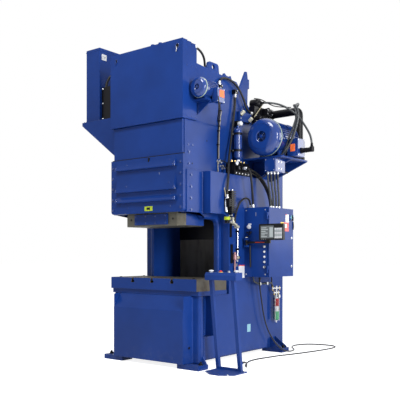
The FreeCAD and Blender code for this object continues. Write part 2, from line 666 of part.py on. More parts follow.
def slide_plan(gap, sign, outer):
    """Plan of the guiding side: a flat way with a V in its middle, at a gap from the slide."""
    flat = f"{sign} * (slide_neck + {gap})"
    tip = f"{sign} * (slide_neck + way_high + {gap})"
    low = "slide_front + way_end"
    high = "slide_front + slide_depth - way_end"
    return [(f"{sign} * {outer}", low), (flat, low), (flat, "slide_middle - way_wide"),
            (tip, "slide_middle"), (flat, "slide_middle + way_wide"), (flat, high),
            (f"{sign} * {outer}", high)]


def slide():
    """The slide with V-shaped ways on both sides, and the painted plate on its front."""
    body = new_body("slide")
    right = slide_plan("0", "1", "0")[1:-1]
    left = [(f"-1 * ({x})", y) for x, y in reversed(right)]
    pad(body, "XY", right + left, "slide_shoulder", "slide_top")
    pad(body, "XY", [("-1 * slide_half", "slide_front"), ("slide_half", "slide_front"),
                     ("slide_half", "slide_front + slide_depth"),
                     ("-1 * slide_half", "slide_front + slide_depth")],
        "slide_bottom", "slide_shoulder")
    pocket(body, "XY", [], "slide_bottom", "slide_bottom + shank_length",
           [(("0", "slide_middle"), "shank_radius")])
    corners = [(f"{sign} * slide_half", depth) for sign in (-1, 1)
               for depth in ("slide_front", "slide_front + slide_depth")]
    round_edges(body, 2, corners, "slide_chamfer", "Chamfer")
    finish(body, "slide")
    plate = block("slide_face_plate", ("-1 * face_half", "face_half"),
                  ("slide_front - face_thick", "slide_front"), ("face_bottom", "face_top"))
    finish(plate, "slide_face_plate")


def gibs():
    """The guides on the inner faces of the side plates, and their housings outside."""
    guides = []
    for side, sign in (("left", "-1"), ("right", "1")):
        body = new_body("gib_" + side)
        pad(body, "XY", slide_plan("way_gap", sign, "(frame_half - plate)"),
            "gib_bottom", "gib_top")
        guides.append(body)
    finish(group("gibs", guides), "gibs")
    housings = []
    for side, sign in (("left", "-1"), ("right", "1")):
        body = new_body("gib_housing_" + side)
        outer = f"{sign} * (frame_half + housing_thick)"
        pad(body, "XY", [(f"{sign} * frame_half", "front_plate"), (outer, "front_plate"),
                         (outer, "nose_depth"), (f"{sign} * frame_half", "nose_depth")],
            "jaw_bottom", "doubler_top")
        round_edges(body, 2, [(outer, "nose_depth")], "edge_round")
        housings.append(body)
    finish(group("gib_housings", housings), "gib_housings")


def cylinder():
    """The press cylinder hung in the crosshead, and its piston with the rod to the slide."""
    seat = "crosshead_bottom + crosshead_thick"
    body = new_body("main_cylinder")
    profile = [("barrel_bottom", "rod_radius + bore_gap"), ("barrel_bottom", "barrel_radius"),
               (seat, "barrel_radius"), (seat, "flange_radius"),
               (f"{seat} + flange_thick", "flange_radius"), (f"{seat} + flange_thick", "barrel_radius"),
               ("barrel_top", "barrel_radius"), ("barrel_top", "0"), ("barrel_top - gland_long", "0"),
               ("barrel_top - gland_long", "barrel_bore"),
               ("barrel_bottom + gland_long", "barrel_bore"),
               ("barrel_bottom + gland_long", "rod_radius + bore_gap")]
    turned(body, "Z", ("0", "slide_middle"), profile)
    finish(body, "main_cylinder")
    body = new_body("piston_rod")
    crown = "piston_top - piston_long"
    profile = [("slide_top", "0"), ("slide_top", "rod_radius"), (crown, "rod_radius"),
               (crown, "barrel_bore - bore_gap"), ("piston_top", "barrel_bore - bore_gap"),
               ("piston_top", "0")]
    turned(body, "Z", ("0", "slide_middle"), profile)
    finish(body, "piston_rod")


# ---------------------------------------------------------------- oil tank on the left

def tank():
    """The tapered bracket on the left side, the tall tank on it and the cooler in the gap."""
    body = new_body("tank_bracket")
    tip = [("-1 * bracket_outer", "bracket_top"), ("-1 * bracket_outer", "bracket_top - bracket_lip")]
    pad(body, "XZ", [("-1 * frame_half", "bracket_foot"), ("-1 * frame_half", "bracket_top")] + tip,
        "cover_depth", "bracket_front + bracket_depth")
    pad(body, "XZ", [("-1 * frame_half", "bracket_foot"), ("-1 * frame_half", "cover_bottom"),
                     ("-1 * cover_half", "cover_bottom"), ("-1 * cover_half", "bracket_top")] + tip,
        "bracket_front", "cover_depth")
    finish(body, "tank_bracket")
    tank_body = new_body("oil_tank")
    pad(tank_body, "XY", [("-1 * tank_outer", "tank_front"), ("-1 * tank_inner", "tank_front"),
                          ("-1 * tank_inner", "tank_front + tank_depth"),
                          ("-1 * tank_outer", "tank_front + tank_depth")],
        "bracket_top", "bracket_top + tank_high")
    edges = [(f"-1 * {x}", y) for x in ("tank_outer", "tank_inner")
             for y in ("tank_front", "tank_front + tank_depth")]
    round_edges(tank_body, 2, edges, "slide_chamfer")
    finish(tank_body, "oil_tank")
    inner = "tank_inner - slide_chamfer"
    low = "tank_front + cooler_front"
    core = block("cooler_core", (f"-1 * ({inner})", "-1 * (frame_half + cooler_gap)"),
                 (low, f"{low} + cooler_long"), ("bracket_top", "bracket_top + cooler_high"))
    fan = rod("cooler_fan", "Z", ("-1 * (frame_half + tank_inner) / 2", f"{low} + cooler_long / 2",
                                  "bracket_top + cooler_high"), "cooler_neck", "cooler_neck_high")
    finish(fused("oil_cooler", [core, fan]), "oil_cooler")


# ---------------------------------------------------------------- motors

def finned_motor(name, centre, ends, radii, count):
    """A motor barrel with end shields, whose fins are one pad repeated round the shaft."""
    seat, radius, fin = radii
    body = new_body(name)
    front, rear = ends
    turned(body, "Y", centre, [
        (front, "0"), (front, seat), (f"{front} + shield", seat), (f"{front} + shield", radius),
        (f"{rear} - shield", radius), (f"{rear} - shield", fin), (rear, fin), (rear, "0")])
    sketch = sketch_on(body, "XZ", (centre[0], centre[1], f"-1 * ({rear} - shield / 2)"))
    inner = f"{radius} - fin_root"
    outline(sketch, [("fin_thick / -2", inner), ("fin_thick / 2", inner),
                     ("fin_thick / 2", fin), ("fin_thick / -2", fin)])
    feature = body.newObject("PartDesign::Pad", name + "_fin")
    feature.Profile = sketch
    feature.setExpression("Length", cell(f"({rear}) - ({front}) - shield"))
    doc.recompute()
    turn = body.newObject("PartDesign::PolarPattern", name + "_fins")
    turn.Originals = [feature]
    turn.Axis = (sketch, ["N_Axis"])
    turn.Angle = 360
    turn.Occurrences = count
    body.Tip = turn
    doc.recompute()
    return body


def cowl(name, centre, front, long, radius, inner):
    """A drawn fan cowl: a flat end with a raised boss and a sloped shoulder, open to the rear."""
    wall, boss, shoulder = inner
    body = new_body(name)
    face = f"{front} + cowl_raise"
    rear = f"{front} + {long}"
    turned(body, "Y", centre, [
        (front, "0"), (front, boss), (face, boss), (face, f"{radius} - {shoulder}"),
        (f"{face} + {shoulder}", radius), (rear, radius), (rear, f"{radius} - {wall}"),
        (f"{face} + {shoulder}", f"{radius} - {wall}"), (f"{face} + {shoulder}", "0")])
    return body


def rotor(name, centre, span, shaft, hub, blade, blades):
    """A cooling fan of flat blades on its shaft stub."""
    body = new_body(name)
    low, high = span
    turned(body, "Y", centre, [(low, "0"), (low, hub), (f"{low} + hub_long", hub),
                               (f"{low} + hub_long", shaft), (high, shaft), (high, "0")])
    sketch = sketch_on(body, "XZ", (centre[0], centre[1],
                                    f"-1 * ({low} + (hub_long + blade_long) / 2)"))
    outline(sketch, [("fin_thick / -2", f"{hub} - fin_root"), ("fin_thick / 2", f"{hub} - fin_root"),
                     ("fin_thick / 2", blade), ("fin_thick / -2", blade)])
    feature = body.newObject("PartDesign::Pad", name + "_blade")
    feature.Profile = sketch
    feature.setExpression("Length", cell("blade_long"))
    doc.recompute()
    turn = body.newObject("PartDesign::PolarPattern", name + "_blades")
    turn.Originals = [feature]
    turn.Axis = (sketch, ["N_Axis"])
    turn.Angle = 360
    turn.Occurrences = blades
    body.Tip = turn
    doc.recompute()
    return body


def main_drive():
    """Motor, cowl, fan, pump with its bell housing, shelf with gussets, and junction box."""
    centre = ("motor_x", "motor_z")
    start = "cowl_front + cowl_long"
    barrel = finned_motor("motor_barrel", centre, (start, "stator_end"),
                          ("cowl_radius", "stator_radius", "fin_radius"), SIZES["fin_count"])
    feet_long = (f"{start} + pad_inset", "stator_end - pad_inset")
    feet_high = ("motor_shelf", "motor_z - stator_radius + pad_rise")
    foot_l = block("motor_foot_left", ("motor_x - pad_outer", "motor_x - pad_inner"), feet_long, feet_high)
    foot_r = block("motor_foot_right", ("motor_x + pad_inner", "motor_x + pad_outer"), feet_long, feet_high)
    box = block("terminal_box", ("motor_x + box_in", "motor_x + box_out"),
                ("stator_end - box_rear - box_long", "stator_end - box_rear"),
                ("motor_z - box_low", "motor_z - box_high"))
    level = "motor_z - elbow_drop"
    elbow = rod("terminal_elbow", "X", ("motor_x + box_out", "elbow_y", level),
                "elbow_radius", "elbow_long")
    socket = rod("terminal_socket", "Z", ("motor_x + box_out + elbow_long - socket_back",
                                          "elbow_y", level), "elbow_radius", "elbow_high")
    motor = fused("main_motor_body", [barrel, foot_l, foot_r, box, elbow, socket])
    bore = rod("shaft_bore", "Y", ("motor_x", start, "motor_z"), "shaft_radius + fan_gap", "shaft_seat")
    finish(cut("main_motor", motor, [bore]), "main_motor")
    finish(cowl("motor_cowl", centre, "cowl_front", "cowl_long", "cowl_radius",
                ("cowl_wall", "cowl_boss", "cowl_shoulder")), "motor_cowl")
    finish(rotor("motor_rotor", centre, ("cowl_front + fan_back", f"{start} + fan_back"), "shaft_radius",
                 "shaft_radius + hub_thick", "cowl_radius * blade_share", 8), "motor_rotor")

    body = new_body("main_pump")
    turned(body, "Y", centre, [
        ("stator_end", "0"), ("stator_end", "bell_radius + bell_rim"),
        ("stator_end + bell_seat", "bell_radius + bell_rim"), ("stator_end + bell_seat", "bell_radius"),
        ("bell_end - bell_collar", "bell_radius"), ("bell_end - bell_collar", "bell_radius + bell_collar"),
        ("bell_end", "bell_radius + bell_collar"), ("bell_end", "pump_radius"),
        ("pump_end", "pump_radius"), ("pump_end", "0")])
    finish(body, "main_pump")

    shelf = block("motor_shelf_plate", ("frame_half", "shelf_outer"),
                  (f"{start} - shelf_lead", "shelf_rear"), ("motor_shelf - shelf_thick", "motor_shelf"))
    gussets = [new_body("shelf_gusset_" + name) for name in ("front", "rear")]
    for gusset, low in zip(gussets, ("gusset_front", "shelf_rear - gusset_thick")):
        pad(gusset, "XZ", [("frame_half", "doubler_top"), ("frame_half + gusset_foot", "doubler_top"),
                           ("shelf_outer", "motor_shelf - shelf_thick"),
                           ("frame_half", "motor_shelf - shelf_thick")], low, f"{low} + gusset_thick")
    finish(fused("motor_frame", [shelf] + gussets), "motor_frame")

    under = "motor_shelf - shelf_thick"
    case = block("junction_case", ("motor_x - case_left", "motor_x + case_right"),
                 ("case_front", "case_rear"), (f"{under} - case_high", under))
    lever = rod("junction_lever", "Y", ("motor_x + lever_x", "lever_start", f"{under} - lever_drop"),
                "lever_radius", "lever_long")
    finish(fused("motor_junction_box", [case, lever]), "motor_junction_box")


def pilot_drive():
    """The small motor and pump on their own bracket beside the crown cover."""
    centre = ("pilot_x", "pilot_z")
    start = "pilot_front + pilot_cowl_long"
    barrel = finned_motor("pilot_barrel", centre, (start, "pilot_end"),
                          ("pilot_radius", "pilot_body", "pilot_fin"), SIZES["pilot_fins"])
    pump = rod("pilot_pump_case", "Y", ("pilot_x", "pilot_end", "pilot_z"), "pilot_pump",
               "pilot_pump_end - pilot_end")
    box = block("pilot_terminal_box", ("pilot_x + pilot_box_in", "pilot_x + pilot_box_out"),
                ("pilot_end - pilot_box_front", "pilot_end + pilot_box_rear"),
                ("pilot_z - pilot_box_low", "pilot_z + pilot_box_high"))
    seat = "pilot_z - pilot_body - pilot_drop"
    foot = block("pilot_foot", ("pilot_x - pilot_pad", "pilot_x + pilot_pad"),
                 (f"{start} + pilot_pad_lead", "pilot_end - pilot_pad_trail"),
                 (seat, f"{seat} + pilot_drop + pilot_pad_rise"))
    motor = fused("pilot_motor_body", [barrel, pump, box, foot])
    bore = rod("pilot_bore", "Y", ("pilot_x", start, "pilot_z"), "pilot_shaft + fan_gap", "pilot_seat")
    finish(cut("pilot_motor", motor, [bore]), "pilot_motor")
    finish(cowl("pilot_cowl", centre, "pilot_front", "pilot_cowl_long", "pilot_radius",
                ("pilot_wall", "pilot_boss", "pilot_shoulder")), "pilot_cowl")
    finish(rotor("pilot_rotor", centre, ("pilot_front + pilot_fan", f"{start} + pilot_fan_back"),
                 "pilot_shaft", "pilot_shaft + pilot_hub", "pilot_radius * pilot_blade_share", 6),
           "pilot_rotor")

    edge = "pilot_x + pilot_deck"
    body = new_body("pilot_bracket")
    pad(body, "XZ", [("frame_half", f"{seat} - pilot_web"),
                     ("frame_half + pilot_deck_thick", f"{seat} - pilot_web"),
                     (edge, f"{seat} - pilot_deck_thick"), (edge, seat), ("frame_half", seat)],
        "cover_depth + shelf_lead", "cover_depth + shelf_lead + pilot_deck_thick")
    for side, low, high in (("cover_half", f"{start} + shelf_lead", "cover_depth"),
                            ("frame_half", "cover_depth", "pilot_end")):
        pad(body, "XZ", [(side, f"{seat} - pilot_deck_thick"), (edge, f"{seat} - pilot_deck_thick"),
                         (edge, seat), (side, seat)], low, high)
    finish(body, "pilot_bracket")


# ---------------------------------------------------------------- hydraulics on the right side

def return_pipe():
    """The bent pipe from the valves on the slope down to the motor's shelf, with its flange."""
    rise = rod("pipe_rise", "Z", ("pipe_x", "pipe_y", "motor_shelf"), "pipe_radius",
               "pipe_z - pipe_bend - motor_shelf")
    flange = rod("pipe_foot", "Z", ("pipe_x", "pipe_y", "motor_shelf"), "pipe_radius + pipe_flange",
                 "flange_high")
    valve_face = "frame_half + valves_thick"
    run = rod("pipe_run", "X", (valve_face, "pipe_y", "pipe_z"), "pipe_radius",
              f"pipe_x - pipe_bend - ({valve_face})")
    bend = doc.addObject("Part::Torus", "pipe_corner")
    bend.Placement = Placement(Vector(), Rotation(Vector(1, 0, 0), 90))
    bend.Angle3 = 90
    bend.setExpression("Radius1", cell("pipe_bend"))
    bend.setExpression("Radius2", cell("pipe_radius"))
    bend.setExpression("Placement.Base.x", cell("pipe_x - pipe_bend"))
    bend.setExpression("Placement.Base.y", cell("pipe_y"))
    bend.setExpression("Placement.Base.z", cell("pipe_z - pipe_bend"))
    return fused("return_pipe", [rise, flange, run, bend])


def hydraulics():
    """Accumulator, valve manifold, ribbed valve stack and the valve block on the slope."""
    body = new_body("accumulator_shell")
    turned(body, "Z", ("bottle_x", "bottle_y"), [
        ("bottle_bottom", "0"), ("bottle_bottom", "bottle_neck"),
        ("bottle_bottom + bottle_end", "bottle_neck"), ("bottle_bottom + bottle_end", "bottle_radius"),
        ("bottle_top - bottle_end", "bottle_radius"), ("bottle_top - bottle_end", "bottle_neck"),
        ("bottle_top", "bottle_neck"), ("bottle_top", "0")])
    clamps = [block(f"bottle_strap_{name}", ("frame_half", "bottle_x"),
                    ("bottle_y - strap_half", "bottle_y + strap_half"), (low, f"{low} + strap_high"))
              for name, low in (("low", "bottle_bottom + strap_in"),
                                ("high", "bottle_top - strap_in - strap_high"))]
    finish(fused("accumulator", [body] + clamps), "accumulator")

    deck = "doubler_top"
    base = block("manifold_block", ("frame_half", "frame_half + manifold_wide"),
                 ("manifold_front", "manifold_rear"), (deck, f"{deck} + manifold_high"))
    coils = [rod(f"manifold_coil_{n}", "X",
                 ("frame_half + manifold_wide", f"manifold_front + coil_first + {n} * coil_pitch",
                  f"{deck} + manifold_high / 2"), "coil_radius", "coil_long")
             for n in range(SIZES["coils"])]
    manifold = fused("manifold", [base] + coils)
    ports = [block(name + "_block", ("frame_half", "frame_half + fitting_wide"),
                   (name, f"{name} + fitting_long"), ("fitting_low", "fitting_high"))
             for name in ("deck_fitting", "side_fitting")]
    finish(group("valve_manifold", [manifold] + ports), "valve_manifold")

    plate = "cabinet_back"
    spine = block("stack_spine", (plate, f"{plate} + stack_wide - stack_groove"),
                  ("stack_front + groove_side", "stack_front + stack_wide - groove_side"),
                  ("stack_bottom", "stack_top"))
    pitch = "((stack_top - stack_bottom) / stack_ribs)"
    ribs = [block(f"stack_rib_{n}", (plate, f"{plate} + stack_wide"),
                  ("stack_front", "stack_front + stack_wide"),
                  (f"stack_bottom + {n} * {pitch}", f"stack_bottom + ({n} + rib_share) * {pitch}"))
            for n in range(SIZES["stack_ribs"])]
    port = block("stack_port", (plate, f"{plate} + port_wide"), ("port_front", "stack_front"),
                 ("port_bottom", "port_top"))
    joint = block("stack_joint", (plate, f"{plate} + joint_wide"),
                  ("stack_front - joint_lap", "stack_front + joint_lap"), ("joint_bottom", "joint_top"))
    finish(fused("valve_stack", [spine, port, joint] + ribs), "valve_stack")

    base = block("top_block", ("frame_half", "frame_half + valves_thick"),
                 ("valves_front", "valves_rear"), ("valves_bottom", "valves_top"))
    dome = rod("top_dome", "X", ("frame_half - dome_in", "dome_y", "valves_top + dome_rise"),
               "dome_radius", "dome_long")
    coils = [rod(f"top_coil_{n}", "X",
                 ("frame_half + valves_thick", f"valves_front + top_coil_first + {n} * top_coil_pitch",
                  "valves_bottom + top_coil_rise"), "coil_radius", "top_coil_long")
             for n in range(SIZES["top_coils"])]
    finish(fused("top_valves", [base, dome, return_pipe()] + coils), "top_valves")


def top_at(depth):
    """Height of the side plates' top edge at a depth in front of or on the crown's slope."""
    front = "(crown_front_top - crown_mid_top) / (crown_mid_depth - front_plate)"
    slope = "(crown_mid_top - crown_slope_top) / (crown_slope_depth - crown_mid_depth)"
    if value(depth) <= SIZES["crown_mid_depth"]:
        return f"(crown_front_top - {front} * ({depth} - front_plate))"
    return f"(crown_mid_top - {slope} * ({depth} - crown_mid_depth))"


def lifting_lugs():
    """Two lifting ears with their eyes, a low clamp and the tall lug above the slope."""
    rear = "ear_front + ear_long"
    ears = []
    for side, (low, high) in {"left": ("-1 * frame_half", "ear_thick - frame_half"),
                              "right": ("frame_half - ear_thick", "frame_half")}.items():
        body = new_body("ear_" + side)
        crest = f"{top_at('ear_front')} + ear_high"
        pad(body, "YZ", [("ear_front", top_at("ear_front")), (rear, top_at(rear)),
                         (f"{rear} - ear_trail", crest), ("ear_front + ear_lead", crest)],
            low, high)
        round_edges(body, 0, [(f"{rear} - ear_trail", crest), ("ear_front + ear_lead", crest)],
                    "ear_round")
        pocket(body, "YZ", [], low, high,
               [(("ear_front + ear_long / 2", f"{top_at('ear_front')} + 0.45 * ear_high"), "ear_hole")])
        ears.append(body)
    finish(group("lifting_ears", ears), "lifting_ears")

    clamp = new_body("top_clamp")
    clamp_rear = "clamp_front + clamp_long"
    corners = [("clamp_front", "0"), (clamp_rear, "0"), (f"{clamp_rear} - clamp_side", "clamp_high"),
               (f"{clamp_rear} - clamp_slope", "clamp_low"),
               ("clamp_front + clamp_slope", "clamp_low"), ("clamp_front + clamp_side", "clamp_high")]
    pad(clamp, "YZ", [(y, f"{top_at(y)} + {rise}") for y, rise in corners],
        "frame_half - ear_thick", "frame_half")
    tall = new_body("tall_lug")
    heel = "lug_front + lug_long"
    toe = "lug_front + lug_long - lug_undercut"
    pad(tall, "YZ", [("lug_front", top_at("lug_front")), (toe, top_at(toe)),
                     (heel, "lug_top - lug_drop"), (f"{heel} + lug_nose", "lug_top - lug_drop"),
                     (f"{heel} + lug_nose", "lug_top - lug_point"), (heel, "lug_top - lug_point"),
                     (f"{heel} - lug_bevel", "lug_top"), (f"{heel} - lug_bevel - lug_tip", "lug_top")],
        "frame_half - lug_thick", "frame_half")
    finish(group("top_lugs", [clamp, tall]), "top_lugs")


# Routes of the fixed lines: out from the right side plate, behind the front plane, above the floor
HOSES = {
    "crown_hose": [(-2, 190, 3526), (-2, 260, 3526), (-30, 390, 3490), (-90, 500, 3440),
                   (-90, 500, 3345)],
    "deck_hose": [(25, 625, 3190), (25, 625, 3262), (36, 760, 3295), (44, 930, 3252),
                  (49, 1075, 3120), (50, 1150, 2962), (50, 1260, 2962)],
    "side_hose": [(30, 927, 3140), (30, 927, 3030), (37, 888, 2850), (43, 842, 2670),
                  (54, 790, 2480), (90, 712, 2290), (142, 640, 2110), (148, 605, 1960),
                  (148, 605, 1880)],
    "drop_hose": [(180, 895, 2245), (260, 895, 2245), (270, 915, 2110), (240, 985, 1930),
                  (215, 1030, 1850), (215, 1030, 1790)],
    "front_bend": [(90, 1080, 2270), (90, 1140, 2270), (160, 1250, 2205), (235, 1330, 2030),
                   (265, 1362, 1870), (265, 1362, 1790)],
    "rear_bend": [(55, 1080, 2235), (55, 1145, 2235), (125, 1250, 2205), (195, 1345, 2050),
                  (225, 1395, 1880), (225, 1395, 1790)],
}
CONDUITS = {
    "motor_conduit": [(110, 1370, 3100), (190, 1370, 3100), (360, 1455, 3060), (530, 1520, 2930),
                      (685, 1470, 2740), (785, 1410, 2600), (785, 1410, 2505)],
}
STRANDS = 4
STRAND_PITCH = 28
STRAND_CLOSING = 0.8
for strand in range(STRANDS):
    shift = STRAND_PITCH * strand
    lower = STRAND_CLOSING * shift
    CONDUITS[f"bundle_{strand}"] = [
        (332 + shift, 1170 + shift, 2210), (332 + shift, 1170 + shift, 2110),
        (325 + lower, 1240 + shift, 1920), (325 + lower, 1240 + shift, 1790)]

# Route of the stand's cord, from under the cabinet over the floor to the right-hand post
CORD = [(700, 1240, 950), (700, 1240, 860), (702, 1268, 735), (702, 1302, 585), (701, 1350, 440),
        (704, 1415, 318), (709, 1500, 210), (722, 1590, 120), (745, 1680, 50), (768, 1790, 12),
        (765, 1930, 9), (700, 2060, 9), (600, 2165, 9), (535, 2300, 9), (537, 2441, 9),
        (600, 2560, 9), (705, 2625, 9), (830, 2655, 9), (955, 2650, 9), (1040, 2570, 9),
        (1058, 2440, 9), (1045, 2290, 9), (1022, 2130, 9), (985, 1960, 9), (945, 1780, 9),
        (890, 1590, 9), (835, 1430, 9), (815, 1280, 9), (785, 1130, 9), (775, 990, 9),
        (800, 850, 9), (862, 720, 9), (930, 600, 9), (1010, 505, 12), (1066, 430, 48),
        (1106, 370, 100), (1106, 290, 100)]


def lines():
    """Hydraulic hoses, electric conduits and the free cord to the stand."""
    solids = []
    for routes, thickness in ((HOSES, "hose"), (CONDUITS, "conduit")):
        for name, route in routes.items():
            points = [Vector(value("frame_half") + x, y, z) for x, y, z in route]
            shape = tube(points, value(thickness), name)
            solids.append(free_shape(name, shape))
    finish(group("hoses", solids), "hoses")
    cord = free_shape("cord_tube", tube([Vector(*p) for p in CORD], value("cord"), "stand_cord"))
    finish(cord, "stand_cord")


# ---------------------------------------------------------------- controls on the right side

def cabinet():
    """The control cabinet, its door on front hinges, the switch handle and the push buttons."""
    back, mouth = "cabinet_back", "cabinet_mouth"
    levels = [f"button_top - {n} * button_pitch" for n in range(SIZES["buttons"])]
    shell = block("cabinet_box", (back, mouth), ("cabinet_front", "cabinet_rear"),
                  ("cabinet_bottom", "cabinet_top"))
    room = block("cabinet_room", (f"{back} + cabinet_wall", mouth),
                 ("cabinet_front + cabinet_wall", "cabinet_rear - cabinet_wall"),
                 ("cabinet_bottom + cabinet_wall", "cabinet_top - cabinet_wall"))
    bushes = []
    holes = []
    for n, level in enumerate(levels + ["selector_z"]):
        start = ("button_x", "cabinet_front - bush", level)
        bushes.append(rod(f"button_bush_{n}", "Y", start, "button_radius + bush", "bush"))
        holes.append(rod(f"button_hole_{n}", "Y", start, "button_radius + button_gap",
                         "bush + cabinet_wall"))
    hinge_x, hinge_y = f"{mouth} + hinge_out", "cabinet_front - hinge_out"
    halves = []
    for name in ("hinge_low", "hinge_high"):
        start = (hinge_x, hinge_y, name)
        halves.append(rod(name + "_knuckle", "Z", start, "hinge_radius", "hinge_long"))
        halves.append(rod(name + "_pin", "Z", start, "pin_radius", "2 * hinge_long - pin_short"))
        halves.append(block(name + "_tab", (f"{mouth} - hinge_tab", hinge_x),
                            (f"{hinge_y} + tab_clear", "cabinet_front"), (name, f"{name} + hinge_long")))
    for name, low in (("low", "hmi_z - arm_low - yoke_gap - yoke_thick"),
                      ("high", "hmi_z + arm_low + yoke_gap")):
        halves.append(block(f"arm_yoke_{name}", ("hmi_x - yoke_half", "hmi_x + yoke_half"),
                            ("cabinet_front - yoke_out", "cabinet_front"), (low, f"{low} + yoke_thick")))
    gland = rod("cord_gland", "Z", ("gland_x", "gland_y", "gland_low"), "gland",
                "cabinet_bottom - gland_low")
    solid = cut("cabinet_hollow", fused("cabinet_block", [shell] + bushes), [room] + holes)
    finish(fused("control_cabinet", [solid, gland] + halves), "control_cabinet")

    face = f"{mouth} + door_gap + door_thick"
    leaf = block("door_leaf", (f"{mouth} + door_gap", face),
                 ("cabinet_front + hinge_radius", "cabinet_rear"), ("cabinet_bottom", "cabinet_top"))
    inside = block("door_hollow", (f"{mouth} + door_gap", f"{face} - door_gap - door_skin"),
                   ("cabinet_front + hinge_radius + door_rim", "cabinet_rear - door_rim"),
                   ("cabinet_bottom + door_rim", "cabinet_top - door_rim"))
    spindle = rod("handle_bore", "X", (f"{mouth} + door_gap", "handle_y", "handle_z"),
                  "handle_stem + button_gap", "door_thick + door_skin")
    leaf = cut("door_sheet", leaf, [inside, spindle])
    knuckles = []
    bores = []
    for name in ("hinge_low", "hinge_high"):
        base = f"{name} + hinge_long + hinge_gap"
        long = "hinge_long - hinge_gap"
        knuckles.append(rod(f"door_{name}_knuckle", "Z", (hinge_x, hinge_y, base), "hinge_radius", long))
        knuckles.append(block(f"door_{name}_tab", (f"{hinge_x} - tab_clear", f"{hinge_x} + hinge_radius"),
                              (hinge_y, "cabinet_front + hinge_radius"), (base, f"{base} + {long}")))
        bores.append(rod(f"door_{name}_bore", "Z", (hinge_x, hinge_y, base), "pin_radius + pin_gap", long))
    finish(cut("cabinet_door", fused("door_hung", [leaf] + knuckles), bores), "cabinet_door")

    hub_face = f"{face} + handle_gap + handle_long"
    hub = rod("handle_hub", "X", (f"{face} + handle_gap", "handle_y", "handle_z"), "handle_radius",
              "handle_long")
    grip = block("handle_grip", (hub_face, f"{hub_face} + grip_thick"),
                 ("handle_y - grip_half", "handle_y + grip_half"),
                 ("handle_z - grip_low", "handle_z + grip_high"))
    stem = rod("handle_spindle", "X", (f"{face} - stem_in", "handle_y", "handle_z"), "handle_stem",
               "stem_long")
    finish(fused("disconnect_handle", [hub, grip, stem]), "disconnect_handle")

    reach = "cabinet_wall + button_rear"
    for n, level in enumerate(levels):
        proud = "bush + button_travel + button_proud"
        cap = rod(f"button_cap_{n}", "Y", ("button_x", f"cabinet_front - ({proud})", level),
                  "button_radius", f"{proud} + {reach}")
        finish(cap, f"push_button_{n + 1}")
    stem = rod("selector_stem", "Y", ("button_x", "cabinet_front - selector_proud", "selector_z"),
               "button_radius", f"selector_proud + {reach}")
    wing = block("selector_wing", ("button_x - wing_half", "button_x + wing_half"),
                 ("cabinet_front - selector_proud - wing_high", "cabinet_front - selector_proud"),
                 ("selector_z - wing_long", "selector_z + wing_long"))
    finish(fused("selector_switch", [stem, wing]), "selector_switch")


def screen():
    """The swivelling arm in front of the cabinet and the operator panel that it carries."""
    middle = "cabinet_front - arm_out"
    post = rod("arm_post", "Z", ("hmi_x", middle, "hmi_z - arm_low"), "arm_radius", "2 * arm_low")
    span = (f"{middle} - arm_half", f"{middle} + arm_half")
    tip = "hmi_x + hmi_reach"
    arm = block("arm_bar", ("hmi_x", tip), span, ("hmi_z - arm_drop", "hmi_z + arm_rise"))
    riser = block("arm_end", (f"{tip} - arm_riser", tip), span, ("hmi_z - arm_drop", "hmi_z + 2 * arm_low"))
    finish(fused("screen_arm", [post, arm, riser]), "screen_arm")
    left = f"{tip} - hmi_left"
    low, high = f"{middle} - arm_half - hmi_deep", f"{middle} - arm_half"
    bottom = "hmi_z + hmi_rise"
    body = new_body("screen_panel")
    pad(body, "XZ", [(left, bottom), (f"{left} + hmi_wide", bottom),
                     (f"{left} + hmi_wide", f"{bottom} + hmi_high"), (left, f"{bottom} + hmi_high")],
        low, high)
    window = (f"{left} + window_edge", f"{left} + window_share * hmi_wide")
    sill, top = f"{bottom} + window_low", f"{bottom} + hmi_high - window_low"
    pocket(body, "XZ", [(window[0], sill), (window[1], sill), (window[1], top), (window[0], top)],
           low, f"{low} + window_deep")
    finish(body, "screen_panel")


def air():
    """The air filter, regulator and lubricator column at the rear of the right side."""
    bowl_end, bowls_top = "air_bottom + bowl_end", "air_bottom + bowls_top"
    stem = [("air_bottom", "0"), ("air_bottom", "drain_radius"),
            ("air_bottom + drain_long", "drain_radius"), ("air_bottom + drain_long", "bowl_radius"),
            (bowl_end, "bowl_radius"), (bowl_end, "bowl_radius - waist_in"),
            (f"{bowl_end} + waist", "bowl_radius - waist_in"), (f"{bowl_end} + waist", "bowl_radius"),
            (bowls_top, "bowl_radius"), (bowls_top, "air_pipe"), ("air_top", "air_pipe"),
            ("air_top", "0")]
    body = new_body("air_column")
    turned(body, "Z", ("air_x", "air_y"), stem)
    hold = block("air_holder", ("frame_half", "air_x"), ("air_y - holder_half", "air_y + holder_half"),
                 ("air_bottom + holder_low", "air_bottom + holder_high"))
    level = "air_bottom + knob_rise"
    boss = rod("regulator_boss", "Y", ("air_x", "air_y", level), "knob_boss", "bowl_radius + knob_seat")
    finish(fused("air_unit", [body, hold, boss]), "air_unit")
    knob = rod("regulator_cap", "Y", ("air_x", "air_y + bowl_radius + knob_seat + knob_gap", level),
               "knob_radius", "knob_long")
    finish(knob, "regulator_knob")


# ---------------------------------------------------------------- palm-button stand

